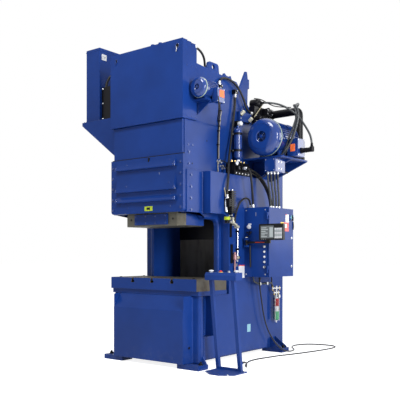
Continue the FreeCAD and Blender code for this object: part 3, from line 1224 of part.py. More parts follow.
def stand():
    """The leaning stand with its box, the two palm buttons and the stop button."""
    foot = new_body("stand_base")
    corner = "base_front + base_cut * cut_share"
    edge = [("base_left", corner), ("base_left + base_cut", "base_front"),
            ("base_right - base_cut", "base_front"), ("base_right", corner),
            ("base_right", "base_rear"), ("base_left", "base_rear")]
    pad(foot, "XY", edge, "0", "base_thick")
    rim = block("stand_rim", ("stand_left", "stand_right"),
                ("post_foot_y + rim_lead", "post_foot_y + rim_lead + rim_thick"),
                ("base_thick", "base_thick + base_rim"))
    posts = []
    for name in ("stand_left", "stand_right"):
        post = new_body(name + "_post")
        pad(post, "YZ", [("post_foot_y", "base_thick"), ("post_foot_y + post_wide", "base_thick"),
                         ("post_foot_y + post_wide - post_lean", "box_bottom"),
                         ("post_foot_y - post_lean", "box_bottom")],
            f"{name} - post_wide / 2", f"{name} + post_wide / 2")
        posts.append(post)
    case = new_body("stand_box")
    pad(case, "YZ", [("box_front", "box_bottom"), ("box_rim", "box_bottom"), ("box_rim", "box_top"),
                     ("box_front + box_slope", "box_top"), ("box_front", "box_top - box_fall")],
        "box_left", "box_right")
    gland = rod("stand_gland", "Y", ("stand_right", "cord_end_y - gland_seat", "cord_end_z"),
                "gland", "gland_seat")
    whole = fused("stand_weldment", [foot, rim, case, gland] + posts)
    middle = "(box_front + box_rim + box_slope) / 2"
    palms = {"palm_button_left": "stand_left", "palm_button_right": "stand_right + post_wide"}
    wells = [rod(name + "_well", "Z", (x, middle, "box_top - well_deep"), "palm_stem + button_gap",
                 "well_deep") for name, x in palms.items()]
    wells.append(rod("stop_well", "Z", ("stop_x", middle, "box_top - well_deep"),
                     "stop_stem + button_gap", "well_deep"))
    finish(cut("control_stand", whole, wells), "control_stand")
    for name, x in palms.items():
        body = new_body(name + "_turned")
        seat = "box_top + palm_travel + palm_clear"
        turned(body, "Z", (x, middle), [
            ("box_top - stem_deep", "0"), ("box_top - stem_deep", "palm_stem"), (seat, "palm_stem"),
            (seat, "palm_radius"), (f"{seat} + palm_thick", "palm_radius"), (f"{seat} + palm_thick", "0")])
        finish(body, name)
    body = new_body("stop_turned")
    seat = "box_top + palm_travel"
    turned(body, "Z", ("stop_x", middle), [
        ("box_top - stem_deep", "0"), ("box_top - stem_deep", "stop_stem"), (seat, "stop_stem"),
        (seat, "stop_radius"), (f"{seat} + stop_thick", "stop_radius"), (f"{seat} + stop_thick", "0")])
    finish(body, "stop_button")


def main():
    """Build every piece, check the document and write one file for each piece."""
    for make in (side_plates, doublers, bed, closures, feet, bolster, covers, cover_bolts, slide, gibs,
                 cylinder, tank, main_drive, pilot_drive, hydraulics, lifting_lugs, lines, cabinet,
                 screen, air, stand):
        make()
    doc.recompute()
    faults = [f"{item.Name}: {item.State}" for item in doc.Objects
              if "Invalid" in item.State or "Error" in item.State]
    faults += [f"{piece.Label}: bad shape" for piece in PIECES
               if piece.Shape.isNull() or not piece.Shape.isValid() or piece.Shape.Volume <= 0]
    if faults:
        sys.exit("\n".join(faults))
    for piece in PIECES:
        piece.Shape.exportStep(f"parts/{piece.Label}.step")
    print(f"{len(PIECES)} pieces written")


main()
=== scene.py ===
"""Looks of a hydraulic gap-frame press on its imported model: paint, bare metal, lines, fittings, trim.

Pieces are drawn in millimetres on the drawing's axes: X runs to the press's right, Y to its back
from the plane of the frame's front, and Z up from the floor. A finished piece is written in metres
about the part's own origin, which lies DEPTH behind that plane. Faces that meet at less than SMOOTH
share their shading. On a copy of a CAD node, edges over SHARP are worked round and facets under FLAT
become one face.
"""
import json
import logging
import math
from dataclasses import dataclass, field
from enum import Enum
from typing import Callable, Iterable, Sequence

import bmesh
import bpy
from mathutils import Matrix, Vector


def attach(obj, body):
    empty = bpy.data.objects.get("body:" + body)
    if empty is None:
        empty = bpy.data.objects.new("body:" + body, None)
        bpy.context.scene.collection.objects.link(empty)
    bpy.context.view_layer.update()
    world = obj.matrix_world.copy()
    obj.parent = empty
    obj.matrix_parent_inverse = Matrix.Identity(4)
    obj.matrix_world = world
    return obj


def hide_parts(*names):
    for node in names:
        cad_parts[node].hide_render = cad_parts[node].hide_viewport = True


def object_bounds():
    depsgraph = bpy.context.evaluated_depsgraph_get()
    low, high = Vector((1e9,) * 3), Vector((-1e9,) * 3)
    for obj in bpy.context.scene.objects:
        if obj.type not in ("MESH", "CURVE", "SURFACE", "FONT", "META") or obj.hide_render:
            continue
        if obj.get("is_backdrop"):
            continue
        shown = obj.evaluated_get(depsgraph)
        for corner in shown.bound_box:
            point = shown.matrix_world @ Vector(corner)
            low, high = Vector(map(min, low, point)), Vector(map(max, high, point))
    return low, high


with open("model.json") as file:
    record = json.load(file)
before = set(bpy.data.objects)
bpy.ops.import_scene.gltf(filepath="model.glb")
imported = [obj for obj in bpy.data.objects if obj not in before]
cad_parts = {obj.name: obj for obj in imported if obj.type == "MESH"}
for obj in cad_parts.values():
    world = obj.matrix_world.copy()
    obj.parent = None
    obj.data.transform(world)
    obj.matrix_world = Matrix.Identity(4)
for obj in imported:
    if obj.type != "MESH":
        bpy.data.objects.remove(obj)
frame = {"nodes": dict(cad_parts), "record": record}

log = logging.getLogger("press")
Point = tuple[float, float, float]
Pair = tuple[float, float]
Colour = tuple[float, float, float]

DEPTH = 960.0
METRE = 1000.0
SMOOTH = math.radians(38.0)
SHARP = math.radians(24)
FLAT = math.radians(0.6)
HEXAGON = 6
DIAGONAL = 0.785
RIGHT, LEFT, BACK, FRONT, UP = (1, 0, 0), (-1, 0, 0), (0, 1, 0), (0, -1, 0), (0, 0, 1)
WELD = {"Ripple": 0.12, "Pitch": 16.0, "Uneven": 0.5, "Sides": 6}


class Along(Enum):
    """The direction that a turned, extruded or repeated shape runs in."""

    X = (1.0, 0.0, 0.0)
    Y = (0.0, 1.0, 0.0)
    Z = (0.0, 0.0, 1.0)

    @property
    def index(self) -> int:
        """Which coordinate it is."""
        return self.value.index(1.0)

    @property
    def turn(self) -> Matrix:
        """The turn that carries the Z axis onto it."""
        if self is Along.X:
            return Matrix.Rotation(math.pi / 2, 4, "Y")
        return Matrix.Rotation(-math.pi / 2, 4, "X") if self is Along.Y else Matrix.Identity(4)


# ------------------------------------------------------------------------------ node trees

class Sum:
    """A number in a node tree that takes part in Python sums."""

    def __init__(self, tree: "Tree", socket: bpy.types.NodeSocket) -> None:
        self.tree = tree
        self.socket = socket

    def maths(self, operation: str, first: object, second: object = None) -> "Sum":
        """Add a Math node.

        Args:
            operation: the node's operation.
            first: its first value.
            second: its second value, where it has one.

        Returns:
            The node's result.
        """
        values = {0: first} if second is None else {0: first, 1: second}
        return Sum(self.tree, self.tree.node("ShaderNodeMath", {"operation": operation}, values).outputs[0])

    def __add__(self, other: object) -> "Sum":
        """Self plus other."""
        return self.maths("ADD", self, other)

    def __radd__(self, other: object) -> "Sum":
        """Other plus self."""
        return self.maths("ADD", other, self)

    def __sub__(self, other: object) -> "Sum":
        """Self minus other."""
        return self.maths("SUBTRACT", self, other)

    def __rsub__(self, other: object) -> "Sum":
        """Other minus self."""
        return self.maths("SUBTRACT", other, self)

    def __mul__(self, other: object) -> "Sum":
        """Self times other."""
        return self.maths("MULTIPLY", self, other)

    def __rmul__(self, other: object) -> "Sum":
        """Other times self."""
        return self.maths("MULTIPLY", other, self)

    def __truediv__(self, other: object) -> "Sum":
        """Self over other."""
        return self.maths("DIVIDE", self, other)

    def sine(self) -> "Sum":
        """The sine of self, in radians."""
        return self.maths("SINE", self)

    def above(self, low: float, high: float) -> "Sum":
        """A smooth step: 0 under low and 1 over high."""
        step = {"interpolation_type": "SMOOTHSTEP"}
        sockets = {"Value": self, "From Min": low, "From Max": high}
        return Sum(self.tree, self.tree.node("ShaderNodeMapRange", step, sockets).outputs[0])


class Tree:
    """Adds nodes to one node tree."""

    def __init__(self, owner: bpy.types.NodeTree) -> None:
        self.owner = owner
        owner.nodes.clear()

    def node(self, kind: str, settings: dict | None = None, inputs: dict | None = None) -> bpy.types.Node:
        """Add one node.

        Args:
            kind: the node's type name.
            settings: its properties, set first.
            inputs: a value, a socket or a Sum for each named or numbered input.

        Returns:
            The node.
        """
        made = self.owner.nodes.new(kind)
        for key, value in (settings or {}).items():
            setattr(made, key, value)
        for key, value in (inputs or {}).items():
            if isinstance(value, Sum):
                value = value.socket
            if isinstance(value, bpy.types.NodeSocket):
                self.owner.links.new(value, made.inputs[key])
            elif value is not None:
                made.inputs[key].default_value = value
        return made

    def mix(self, mask: object, low: object, high: object) -> bpy.types.NodeSocket:
        """A colour that goes from low to high as the mask goes from 0 to 1."""
        ends = [(*end, 1.0) if isinstance(end, tuple) else end for end in (low, high)]
        return self.node("ShaderNodeMix", {"data_type": "RGBA"}, {0: mask, 6: ends[0], 7: ends[1]}).outputs[2]

    def noise(self, place: object, scale: float, detail: float = 3.0, rough: float = 0.55) -> Sum:
        """A cloudy number about one half, at so many clouds to a unit."""
        sockets = {"Vector": place, "Scale": scale, "Detail": detail, "Roughness": rough}
        return Sum(self, self.node("ShaderNodeTexNoise", None, sockets).outputs[0])

    def stretched(self, place: object, scale: Point) -> bpy.types.NodeSocket:
        """Coordinates scaled unevenly, for grain and streaks."""
        return self.node("ShaderNodeMapping", None, {"Vector": place, "Scale": scale}).outputs[0]


# ------------------------------------------------------------------------------ finishes

@dataclass(frozen=True)
class Finish:
    """A smooth even surface, and what every other finish starts from."""

    name: str
    slot: str
    colour: Colour
    roughness: float = 0.4
    metallic: float = 0.0
    coat: float = 0.0
    specular: float = 0.5
    grain: float = 260.0
    depth: float = 0.04

    def surface(self, tree: Tree, place: bpy.types.NodeSocket) -> dict:
        """The shader's inputs.

        Args:
            tree: the material's tree.
            place: object coordinates.

        Returns:
            A value or socket for each input that differs from the shader's own.
        """
        cloud = tree.noise(place, 9.0)
        dark = tuple(part * 0.8 for part in self.colour)
        return {"Base Color": tree.mix(cloud, dark, self.colour),
                "Roughness": self.roughness + 0.12 * (tree.noise(place, 30.0) - 0.5),
                "Normal": self.grained(tree, tree.noise(place, self.grain, 2.0), self.depth)}

    def grained(self, tree: Tree, height: Sum, strength: float) -> bpy.types.NodeSocket:
        """A bumped normal from a height."""
        sockets = {"Strength": strength, "Distance": 0.01, "Height": height}
        return tree.node("ShaderNodeBump", None, sockets).outputs[0]

    def material(self) -> bpy.types.Material:
        """The material, made once."""
        found = bpy.data.materials.get(self.name)
        if found:
            return found
        made = bpy.data.materials.new(self.name)
        made.use_nodes = True
        tree = Tree(made.node_tree)
        place = tree.node("ShaderNodeTexCoord").outputs["Object"]
        inputs = {"Metallic": self.metallic, "Coat Weight": self.coat, "Coat Roughness": 0.12,
                  "Specular IOR Level": self.specular}
        inputs.update(self.surface(tree, place))
        shader = tree.node("ShaderNodeBsdfPrincipled", None, inputs)
        tree.node("ShaderNodeOutputMaterial", None, {"Surface": shader.outputs[0]})
        return made


@dataclass(frozen=True)
class Enamel(Finish):
    """Sprayed machine enamel: a slow drift of tone, orange peel, settled dust and faint rubs."""

    dust: Colour = (0.16, 0.17, 0.2)
    dusting: float = 0.3

    def surface(self, tree: Tree, place: bpy.types.NodeSocket) -> dict:
        """The shader's inputs: tone, peel, dust and rubs."""
        tone = tree.noise(place, 1.7, 4.0)
        deep = tuple(part * 0.8 for part in self.colour)
        paint = tree.mix(tone.above(0.3, 0.72), deep, self.colour)
        facing = tree.node("ShaderNodeNewGeometry").outputs["Normal"]
        upward = Sum(tree, tree.node("ShaderNodeSeparateXYZ", None, {0: facing}).outputs[2])
        settled = upward.above(0.6, 1.0) * tree.noise(place, 14.0, 5.0).above(0.3, 0.8) * self.dusting
        streaks = tree.noise(tree.stretched(place, (26.0, 26.0, 1.6)), 1.0, 4.0)
        rubs = streaks.above(0.6, 0.85) * tree.noise(place, 3.1).above(0.4, 0.7) * 0.08
        low = Sum(tree, tree.node("ShaderNodeSeparateXYZ", None, {0: place}).outputs[2])
        scuffed = (1.0 - low.above(0.0, 0.3)) * tree.noise(place, 17.0, 5.0).above(0.45, 0.75) * 0.12
        paint = tree.mix(settled + rubs + scuffed, paint, self.dust)
        peel = tree.noise(place, self.grain, 2.0) + 0.7 * tree.noise(place, 19.0, 2.0)
        rough = self.roughness + 0.1 * (tree.noise(place, 6.0, 4.0) - 0.5) + 0.6 * settled
        return {"Base Color": paint, "Roughness": rough, "Normal": self.grained(tree, peel, self.depth)}


@dataclass(frozen=True)
class Machined(Finish):
    """Milled or ground steel with cutter lines, oil stains and a little brown."""

    stain: Colour = (0.06, 0.045, 0.03)
    lines: Point = (3.0, 420.0, 420.0)
    stained: Pair = (0.46, 0.68)

    def surface(self, tree: Tree, place: bpy.types.NodeSocket) -> dict:
        """The shader's inputs: cutter lines and stains."""
        cuts = tree.noise(tree.stretched(place, self.lines), 1.0, 2.0)
        patch = tree.noise(place, 5.0, 6.0, 0.65)
        spots = tree.noise(place, 46.0, 3.0)
        stained = patch.above(*self.stained) * (0.35 + 0.65 * spots)
        metal = tree.mix(cuts, tuple(part * 0.75 for part in self.colour), self.colour)
        return {"Base Color": tree.mix(stained, metal, self.stain),
                "Roughness": self.roughness + 0.3 * stained + 0.12 * cuts,
                "Normal": self.grained(tree, cuts + 0.4 * spots, self.depth)}


@dataclass(frozen=True)
class Sheet(Finish):
    """Dull sheet with a mottled, slightly dirty face."""

    dirt: Colour = (0.02, 0.018, 0.016)

    def surface(self, tree: Tree, place: bpy.types.NodeSocket) -> dict:
        """The shader's inputs: clouds of dirt that run down."""
        runs = tree.noise(tree.stretched(place, (9.0, 9.0, 1.4)), 1.0, 5.0)
        clouds = tree.noise(place, 3.2, 5.0)
        dirty = (runs * 0.6 + clouds * 0.4).above(0.4, 0.75)
        return {"Base Color": tree.mix(dirty, self.colour, self.dirt),
                "Roughness": self.roughness + 0.15 * dirty,
                "Normal": self.grained(tree, tree.noise(place, self.grain, 3.0), self.depth)}


@dataclass(frozen=True)
class Woven(Finish):
    """The cover of a hose or cord: a fine diagonal weave and rubbed crests."""

    rubbed: Colour = (0.05, 0.05, 0.052)

    def surface(self, tree: Tree, place: bpy.types.NodeSocket) -> dict:
        """The shader's inputs: the weave and the rubs."""
        axes = [Sum(tree, part) for part in tree.node("ShaderNodeSeparateXYZ", None, {0: place}).outputs]
        one = (900.0 * (axes[0] + axes[1] + axes[2])).sine()
        two = (900.0 * (axes[0] - axes[1] - axes[2])).sine()
        crest = (one * two).above(0.1, 0.9)
        worn = crest * tree.noise(place, 21.0, 4.0).above(0.4, 0.7)
        return {"Base Color": tree.mix(worn, self.colour, self.rubbed),
                "Roughness": self.roughness + 0.2 * (tree.noise(place, 40.0) - 0.5),
                "Normal": self.grained(tree, crest, self.depth)}


@dataclass(frozen=True)
class Clear(Finish):
    """Tinted clear plastic over what it holds."""

    alpha: float = 0.5

    def surface(self, tree: Tree, place: bpy.types.NodeSocket) -> dict:
        """The shader's inputs: tint, haze and see-through."""
        haze = tree.noise(place, 60.0, 3.0)
        return {"Base Color": tree.mix(haze, tuple(part * 0.85 for part in self.colour), self.colour),
                "Roughness": self.roughness + 0.06 * haze, "Alpha": self.alpha + 0.1 * haze}


@dataclass(frozen=True)
class Lit(Finish):
    """A screen or lens that glows a little."""

    glow: float = 0.3

    def surface(self, tree: Tree, place: bpy.types.NodeSocket) -> dict:
        """The shader's inputs: an uneven glow behind a faint weave."""
        weave = tree.noise(place, 90.0, 2.0)
        lens = tree.mix(weave, tuple(part * 0.8 for part in self.colour), self.colour)
        return {"Base Color": lens, "Emission Color": lens, "Emission Strength": self.glow,
                "Roughness": self.roughness + 0.05 * weave}


BLUE = Enamel("royal_blue_enamel", "painted_blue", (0.0085, 0.042, 0.225), 0.3, 0.0, 0.08, 0.1, 190.0, 0.04)
GLOSS = Enamel("gloss_blue_enamel", "painted_blue", (0.0085, 0.042, 0.225), 0.12, 0.0, 0.6, 0.3, 240.0, 0.03)
NIGHT = Finish("black_satin_paint", "dark_paint", (0.004, 0.004, 0.006), 0.34, 0.0, 0.0, 0.15)
CAST = Finish("dark_cast_iron", "dark_paint", (0.006, 0.008, 0.011), 0.5, 0.0, 0.0, 0.15, 120.0, 0.2)
DARK = Sheet("throat_grey_sheet", "throat_grey", (0.13, 0.122, 0.108), 0.6, 0.0, 0.0, 0.2, 120.0, 0.12)
PLATE = Machined("milled_plate_steel", "machined_steel", (0.075, 0.066, 0.05), 0.45, 0.35)
SLIDE_STEEL = Machined("slide_steel", "machined_steel", (0.12, 0.115, 0.09), 0.4, 0.55)
BRONZE = Machined("guide_bronze", "bronze", (0.42, 0.27, 0.10), 0.34, 0.9)
CHROME = Finish("hard_chrome", "hard_chrome", (0.72, 0.72, 0.74), 0.1, 1.0, 0.0, 0.5, 500.0, 0.01)
ZINC = Finish("zinc_plate", "light_alloy", (0.62, 0.63, 0.64), 0.28, 0.85, 0.0, 0.5, 400.0, 0.03)
BRASS = Finish("brass_fittings", "bronze", (0.62, 0.44, 0.16), 0.28, 0.95, 0.0, 0.5, 400.0, 0.03)
RUBBER = Woven("black_rubber_cover", "black_rubber", (0.007, 0.007, 0.008), 0.45, 0.0, 0.0, 0.25, 500.0, 0.1)
JACKET = Finish("grey_conduit", "black_rubber", (0.06, 0.066, 0.07), 0.34, 0.3, 0.0, 0.4, 500.0, 0.08)
BEIGE = Finish("beige_wire", "light_alloy", (0.42, 0.38, 0.25), 0.5)
MOULDED = Finish("black_moulding", "black_plastic", (0.006, 0.006, 0.007), 0.36, 0.0, 0.0, 0.2, 600.0, 0.05)
ALLOY = Finish("cast_alloy", "light_alloy", (0.42, 0.43, 0.45), 0.4, 0.7, 0.0, 0.5, 350.0, 0.06)
WHITE = Finish("white_plastic", "button_plastic", (0.75, 0.76, 0.78), 0.3)
RED = Finish("red_plastic", "red_plastic", (0.55, 0.012, 0.01), 0.3)
ORANGE = Finish("orange_field", "red_plastic", (1.0, 0.19, 0.05), 0.42)
LIME = Finish("lime_field", "button_plastic", (0.5, 0.62, 0.02), 0.4)
YELLOW = Finish("yellow_field", "button_plastic", (0.8, 0.55, 0.02), 0.38)
RIM_HIGHLIGHT = Finish("painted_rim_highlight", "light_alloy", (0.33, 0.42, 0.34), 0.38)
CREAM = Finish("cream_fittings", "light_alloy", (0.62, 0.6, 0.48), 0.36, 0.3)
SKY = Finish("pale_blue_plate", "button_plastic", (0.24, 0.5, 0.62), 0.35)
PINK = Finish("copper_rose_fitting", "bronze", (0.34, 0.18, 0.2), 0.35, 0.4)
GREY = Finish("grey_keys", "button_plastic", (0.3, 0.32, 0.33), 0.45, 0.0, 0.0, 0.4, 500.0, 0.06)
GLASS = Lit("screen_glass", "black_plastic", (0.10, 0.115, 0.12), 0.12, 0.0, 0.0, 0.6, glow=0.25)
BAR = Lit("screen_bars", "button_plastic", (0.36, 0.4, 0.4), 0.2, 0.0, 0.0, 0.5, glow=0.2)
CLEAR_BOWL = Clear("clear_bowl", "light_alloy", (0.62, 0.72, 0.7), 0.12, alpha=0.35)
RED_BOWL = Clear("red_bowl", "red_plastic", (0.3, 0.006, 0.012), 0.16, alpha=0.8)
GREEN_BOWL = Clear("green_bowl", "button_plastic", (0.05, 0.36, 0.16), 0.16, alpha=0.75)


# ------------------------------------------------------------------------------ growth

class Growth:
    """A geometry-node tree with named sizes, whose parts grow on a seed mesh."""

    def __init__(self, name: str, sizes: dict[str, float]) -> None:
        self.group = bpy.data.node_groups.new(name, "GeometryNodeTree")
        self.tree = Tree(self.group)
        face = self.group.interface
        self.keys: dict[str, str] = {}
        self.whole = {label for label, start in sizes.items() if isinstance(start, int)}
        face.new_socket("Seed", in_out="INPUT", socket_type="NodeSocketGeometry")
        for label, start in sizes.items():
            kind = "NodeSocketInt" if label in self.whole else "NodeSocketFloat"
            socket = face.new_socket(label, in_out="INPUT", socket_type=kind)
            socket.default_value = start
            self.keys[label] = socket.identifier
        dress = face.new_socket("Finish", in_out="INPUT", socket_type="NodeSocketMaterial")
        self.keys["Finish"] = dress.identifier
        face.new_socket("Grown", in_out="OUTPUT", socket_type="NodeSocketGeometry")
        self.entry = self.tree.node("NodeGroupInput").outputs

    def size(self, label: str) -> Sum:
        """A named size as a number in the tree."""
        return Sum(self.tree, self.entry[label])

    def close(self, grown: bpy.types.NodeSocket) -> None:
        """Make the instances real, give them their finish and end the tree."""
        real = self.tree.node("GeometryNodeRealizeInstances", None, {0: grown})
        dressed = self.tree.node("GeometryNodeSetMaterial", None,
                                 {0: real.outputs[0], "Material": self.entry["Finish"]})
        self.tree.node("NodeGroupOutput", None, {0: dressed.outputs[0]})

    def grow(self, seed: bpy.types.Mesh, finish: Finish, sizes: dict[str, float]) -> bpy.types.Mesh:
        """Run the tree once.

        Args:
            seed: the points or edges that the parts grow on.
            finish: what they are dressed in.
            sizes: the named sizes that differ from the tree's own.

        Returns:
            A plain mesh.
        """
        holder = bpy.data.objects.new("holder", seed)
        bpy.context.scene.collection.objects.link(holder)
        grower = holder.modifiers.new("grow", "NODES")
        grower.node_group = self.group
        for label, amount in sizes.items():
            grower[self.keys[label]] = int(amount) if label in self.whole else float(amount)
        grower[self.keys["Finish"]] = finish.material()
        made = bpy.data.meshes.new_from_object(holder.evaluated_get(bpy.context.evaluated_depsgraph_get()))
        bpy.data.objects.remove(holder)
        bpy.data.meshes.remove(seed)
        return made


class Fasteners(Growth):
    """Bolt heads or nuts with a chamfered top on washers, square to each point's facing."""

    def __init__(self) -> None:
        super().__init__("fasteners", {"Radius": 10.0, "High": 8.0, "Sides": 6, "Washer": 1.3})
        tree, radius, high = self.tree, self.size("Radius"), self.size("High")
        parts = []
        for sides, across, low, rise, taper in (
                (16, radius * self.size("Washer"), 0.0 * high, 0.22, 1.0),
                (self.entry["Sides"], radius, 0.2 * high, 0.55, 1.0),
                (self.entry["Sides"], radius, 0.75 * high, 0.25, 0.82)):
            body = tree.node("GeometryNodeMeshCone", None, {
                "Vertices": sides, "Radius Bottom": across, "Radius Top": across * taper,
                "Depth": high * rise})
            lifted = tree.node("ShaderNodeCombineXYZ", None, {2: low})
            parts.append(tree.node("GeometryNodeTransform", None,
                                   {0: body.outputs[0], "Translation": lifted.outputs[0]}))
        joined = tree.node("GeometryNodeJoinGeometry")
        for part in parts:
            tree.owner.links.new(part.outputs[0], joined.inputs[0])
        facing = tree.node("GeometryNodeInputNamedAttribute", {"data_type": "FLOAT_VECTOR"}, {0: "facing"})
        turn = tree.node("FunctionNodeAlignRotationToVector", {"axis": "Z"}, {"Vector": facing.outputs[0]})
        placed = tree.node("GeometryNodeInstanceOnPoints", None, {
            0: self.entry[0], "Instance": joined.outputs[0], "Rotation": turn.outputs[0]})
        self.close(placed.outputs[0])


class Fins(Growth):
    """Flat fins or slots that stand out from a ring about the Z axis."""

    def __init__(self) -> None:
        super().__init__("fins", {"Count": 24, "Radius": 100.0, "Deep": 20.0, "Thick": 4.0, "Long": 100.0})
        tree = self.tree
        ring = tree.node("GeometryNodeMeshCircle", None,
                         {"Vertices": self.entry["Count"], "Radius": self.entry["Radius"]})
        size = tree.node("ShaderNodeCombineXYZ", None,
                         {0: self.entry["Deep"], 1: self.entry["Thick"], 2: self.entry["Long"]})
        fin = tree.node("GeometryNodeMeshCube", None, {"Size": size.outputs[0]})
        place = tree.node("GeometryNodeInputPosition")
        turn = tree.node("FunctionNodeAlignRotationToVector", {"axis": "X"}, {"Vector": place.outputs[0]})
        placed = tree.node("GeometryNodeInstanceOnPoints", None, {
            0: ring.outputs[0], "Instance": fin.outputs[0], "Rotation": turn.outputs[0]})
        self.close(placed.outputs[0])


class Rows(Growth):
    """A row of flat plates a pitch apart along Z, each tilted about X."""

    def __init__(self) -> None:
        super().__init__("rows", {"Count": 8, "Pitch": 20.0, "Wide": 50.0, "Deep": 50.0, "Thick": 5.0,
                                  "Tilt": 0.0})
        tree = self.tree
        step = tree.node("ShaderNodeCombineXYZ", None, {2: self.entry["Pitch"]})
        line = tree.node("GeometryNodeMeshLine", {"mode": "OFFSET"},
                         {"Count": self.entry["Count"], "Offset": step.outputs[0]})
        size = tree.node("ShaderNodeCombineXYZ", None,
                         {0: self.entry["Wide"], 1: self.entry["Deep"], 2: self.entry["Thick"]})
        plate = tree.node("GeometryNodeMeshCube", None, {"Size": size.outputs[0]})
        angle = tree.node("ShaderNodeCombineXYZ", None, {0: self.entry["Tilt"]})
        tilt = tree.node("FunctionNodeEulerToRotation", None, {0: angle.outputs[0]})
        placed = tree.node("GeometryNodeInstanceOnPoints", None, {
            0: line.outputs[0], "Instance": plate.outputs[0], "Rotation": tilt.outputs[0]})
        self.close(placed.outputs[0])


class Ripples(Growth):
    """A rippled round line on the seed's edges: corrugated conduit and weld beads."""

    def __init__(self) -> None:
        super().__init__("ripples", {"Radius": 8.0, "Ripple": 0.1, "Pitch": 10.0, "Uneven": 0.0, "Sides": 10})
        tree, pitch = self.tree, self.size("Pitch")
        curve = tree.node("GeometryNodeMeshToCurve", None, {0: self.entry[0]})
        evened = tree.node("GeometryNodeResampleCurve", {"mode": "LENGTH"},
                           {0: curve.outputs[0], "Length": pitch / 4.0})
        run = Sum(tree, tree.node("GeometryNodeSplineParameter").outputs["Length"])
        wave = (run / pitch * math.tau).sine() * self.size("Ripple")
        place = tree.node("GeometryNodeInputPosition").outputs[0]
        lumps = (tree.noise(place, 0.07, 2.0) - 0.5) * self.size("Uneven")
        ring = tree.node("GeometryNodeCurvePrimitiveCircle", None,
                         {"Resolution": self.entry["Sides"], "Radius": 1.0})
        tube = tree.node("GeometryNodeCurveToMesh", None, {
            0: evened.outputs[0], 1: ring.outputs[0], "Scale": self.size("Radius") * (1.0 + wave + lumps),
            "Fill Caps": True})
        self.close(tube.outputs[0])


FASTENERS, FINS, ROWS, RIPPLES = Fasteners(), Fins(), Rows(), Ripples()


def seeded(points: Sequence[Point], facings: Sequence[Point] = (), joined: bool = False) -> bpy.types.Mesh:
    """A seed mesh.

    Args:
        points: its points.
        facings: which way each point faces.
        joined: whether edges join them in order.

    Returns:
        The mesh.
    """
    data = bpy.data.meshes.new("seed")
    edges = [(step, step + 1) for step in range(len(points) - 1)] if joined else []
    data.from_pydata([tuple(place) for place in points], edges, [])
    if facings:
        attribute = data.attributes.new("facing", "FLOAT_VECTOR", "POINT")
        attribute.data.foreach_set("vector", [part for facing in facings for part in facing])
    return data


def route_curve(name: str, route: Sequence[Point], radius: float, fine: int = 10) -> bpy.types.Object:
    """A NURBS curve object through a route's control points, in the route's own units.

    Args:
        name: its name.
        route: its control points.
        radius: its bevel, or 0 for a bare line.
        fine: how many steps each stretch has.

    Returns:
        The curve object, linked to the scene.
    """
    data = bpy.data.curves.new(name, "CURVE")
    data.dimensions = "3D"
    data.bevel_depth = radius
    data.bevel_resolution = 4
    data.resolution_u = fine
    data.use_fill_caps = radius > 0
    line = data.splines.new("NURBS")
    line.points.add(len(route) - 1)
    for spot, place in zip(line.points, route):
        spot.co = (*place, 1.0)
    line.order_u = 3
    line.use_endpoint_u = True
    piece = bpy.data.objects.new(name, data)
    bpy.context.scene.collection.objects.link(piece)
    return piece


def traced(route: Sequence[Point], radius: float = 0.0, fine: int = 10) -> bpy.types.Mesh:
    """The mesh of a route's spline: its line where radius is 0, otherwise a round tube."""
    curve = route_curve("traced", route, radius, fine)
    made = bpy.data.meshes.new_from_object(curve.evaluated_get(bpy.context.evaluated_depsgraph_get()))
    bpy.data.objects.remove(curve)
    return made


# ------------------------------------------------------------------------------ pieces

@dataclass
class Screw:
    """One bolt head or nut that waits to be grown."""

    place: Point
    facing: Point
    radius: float
    high: float
    finish: Finish
    sides: int


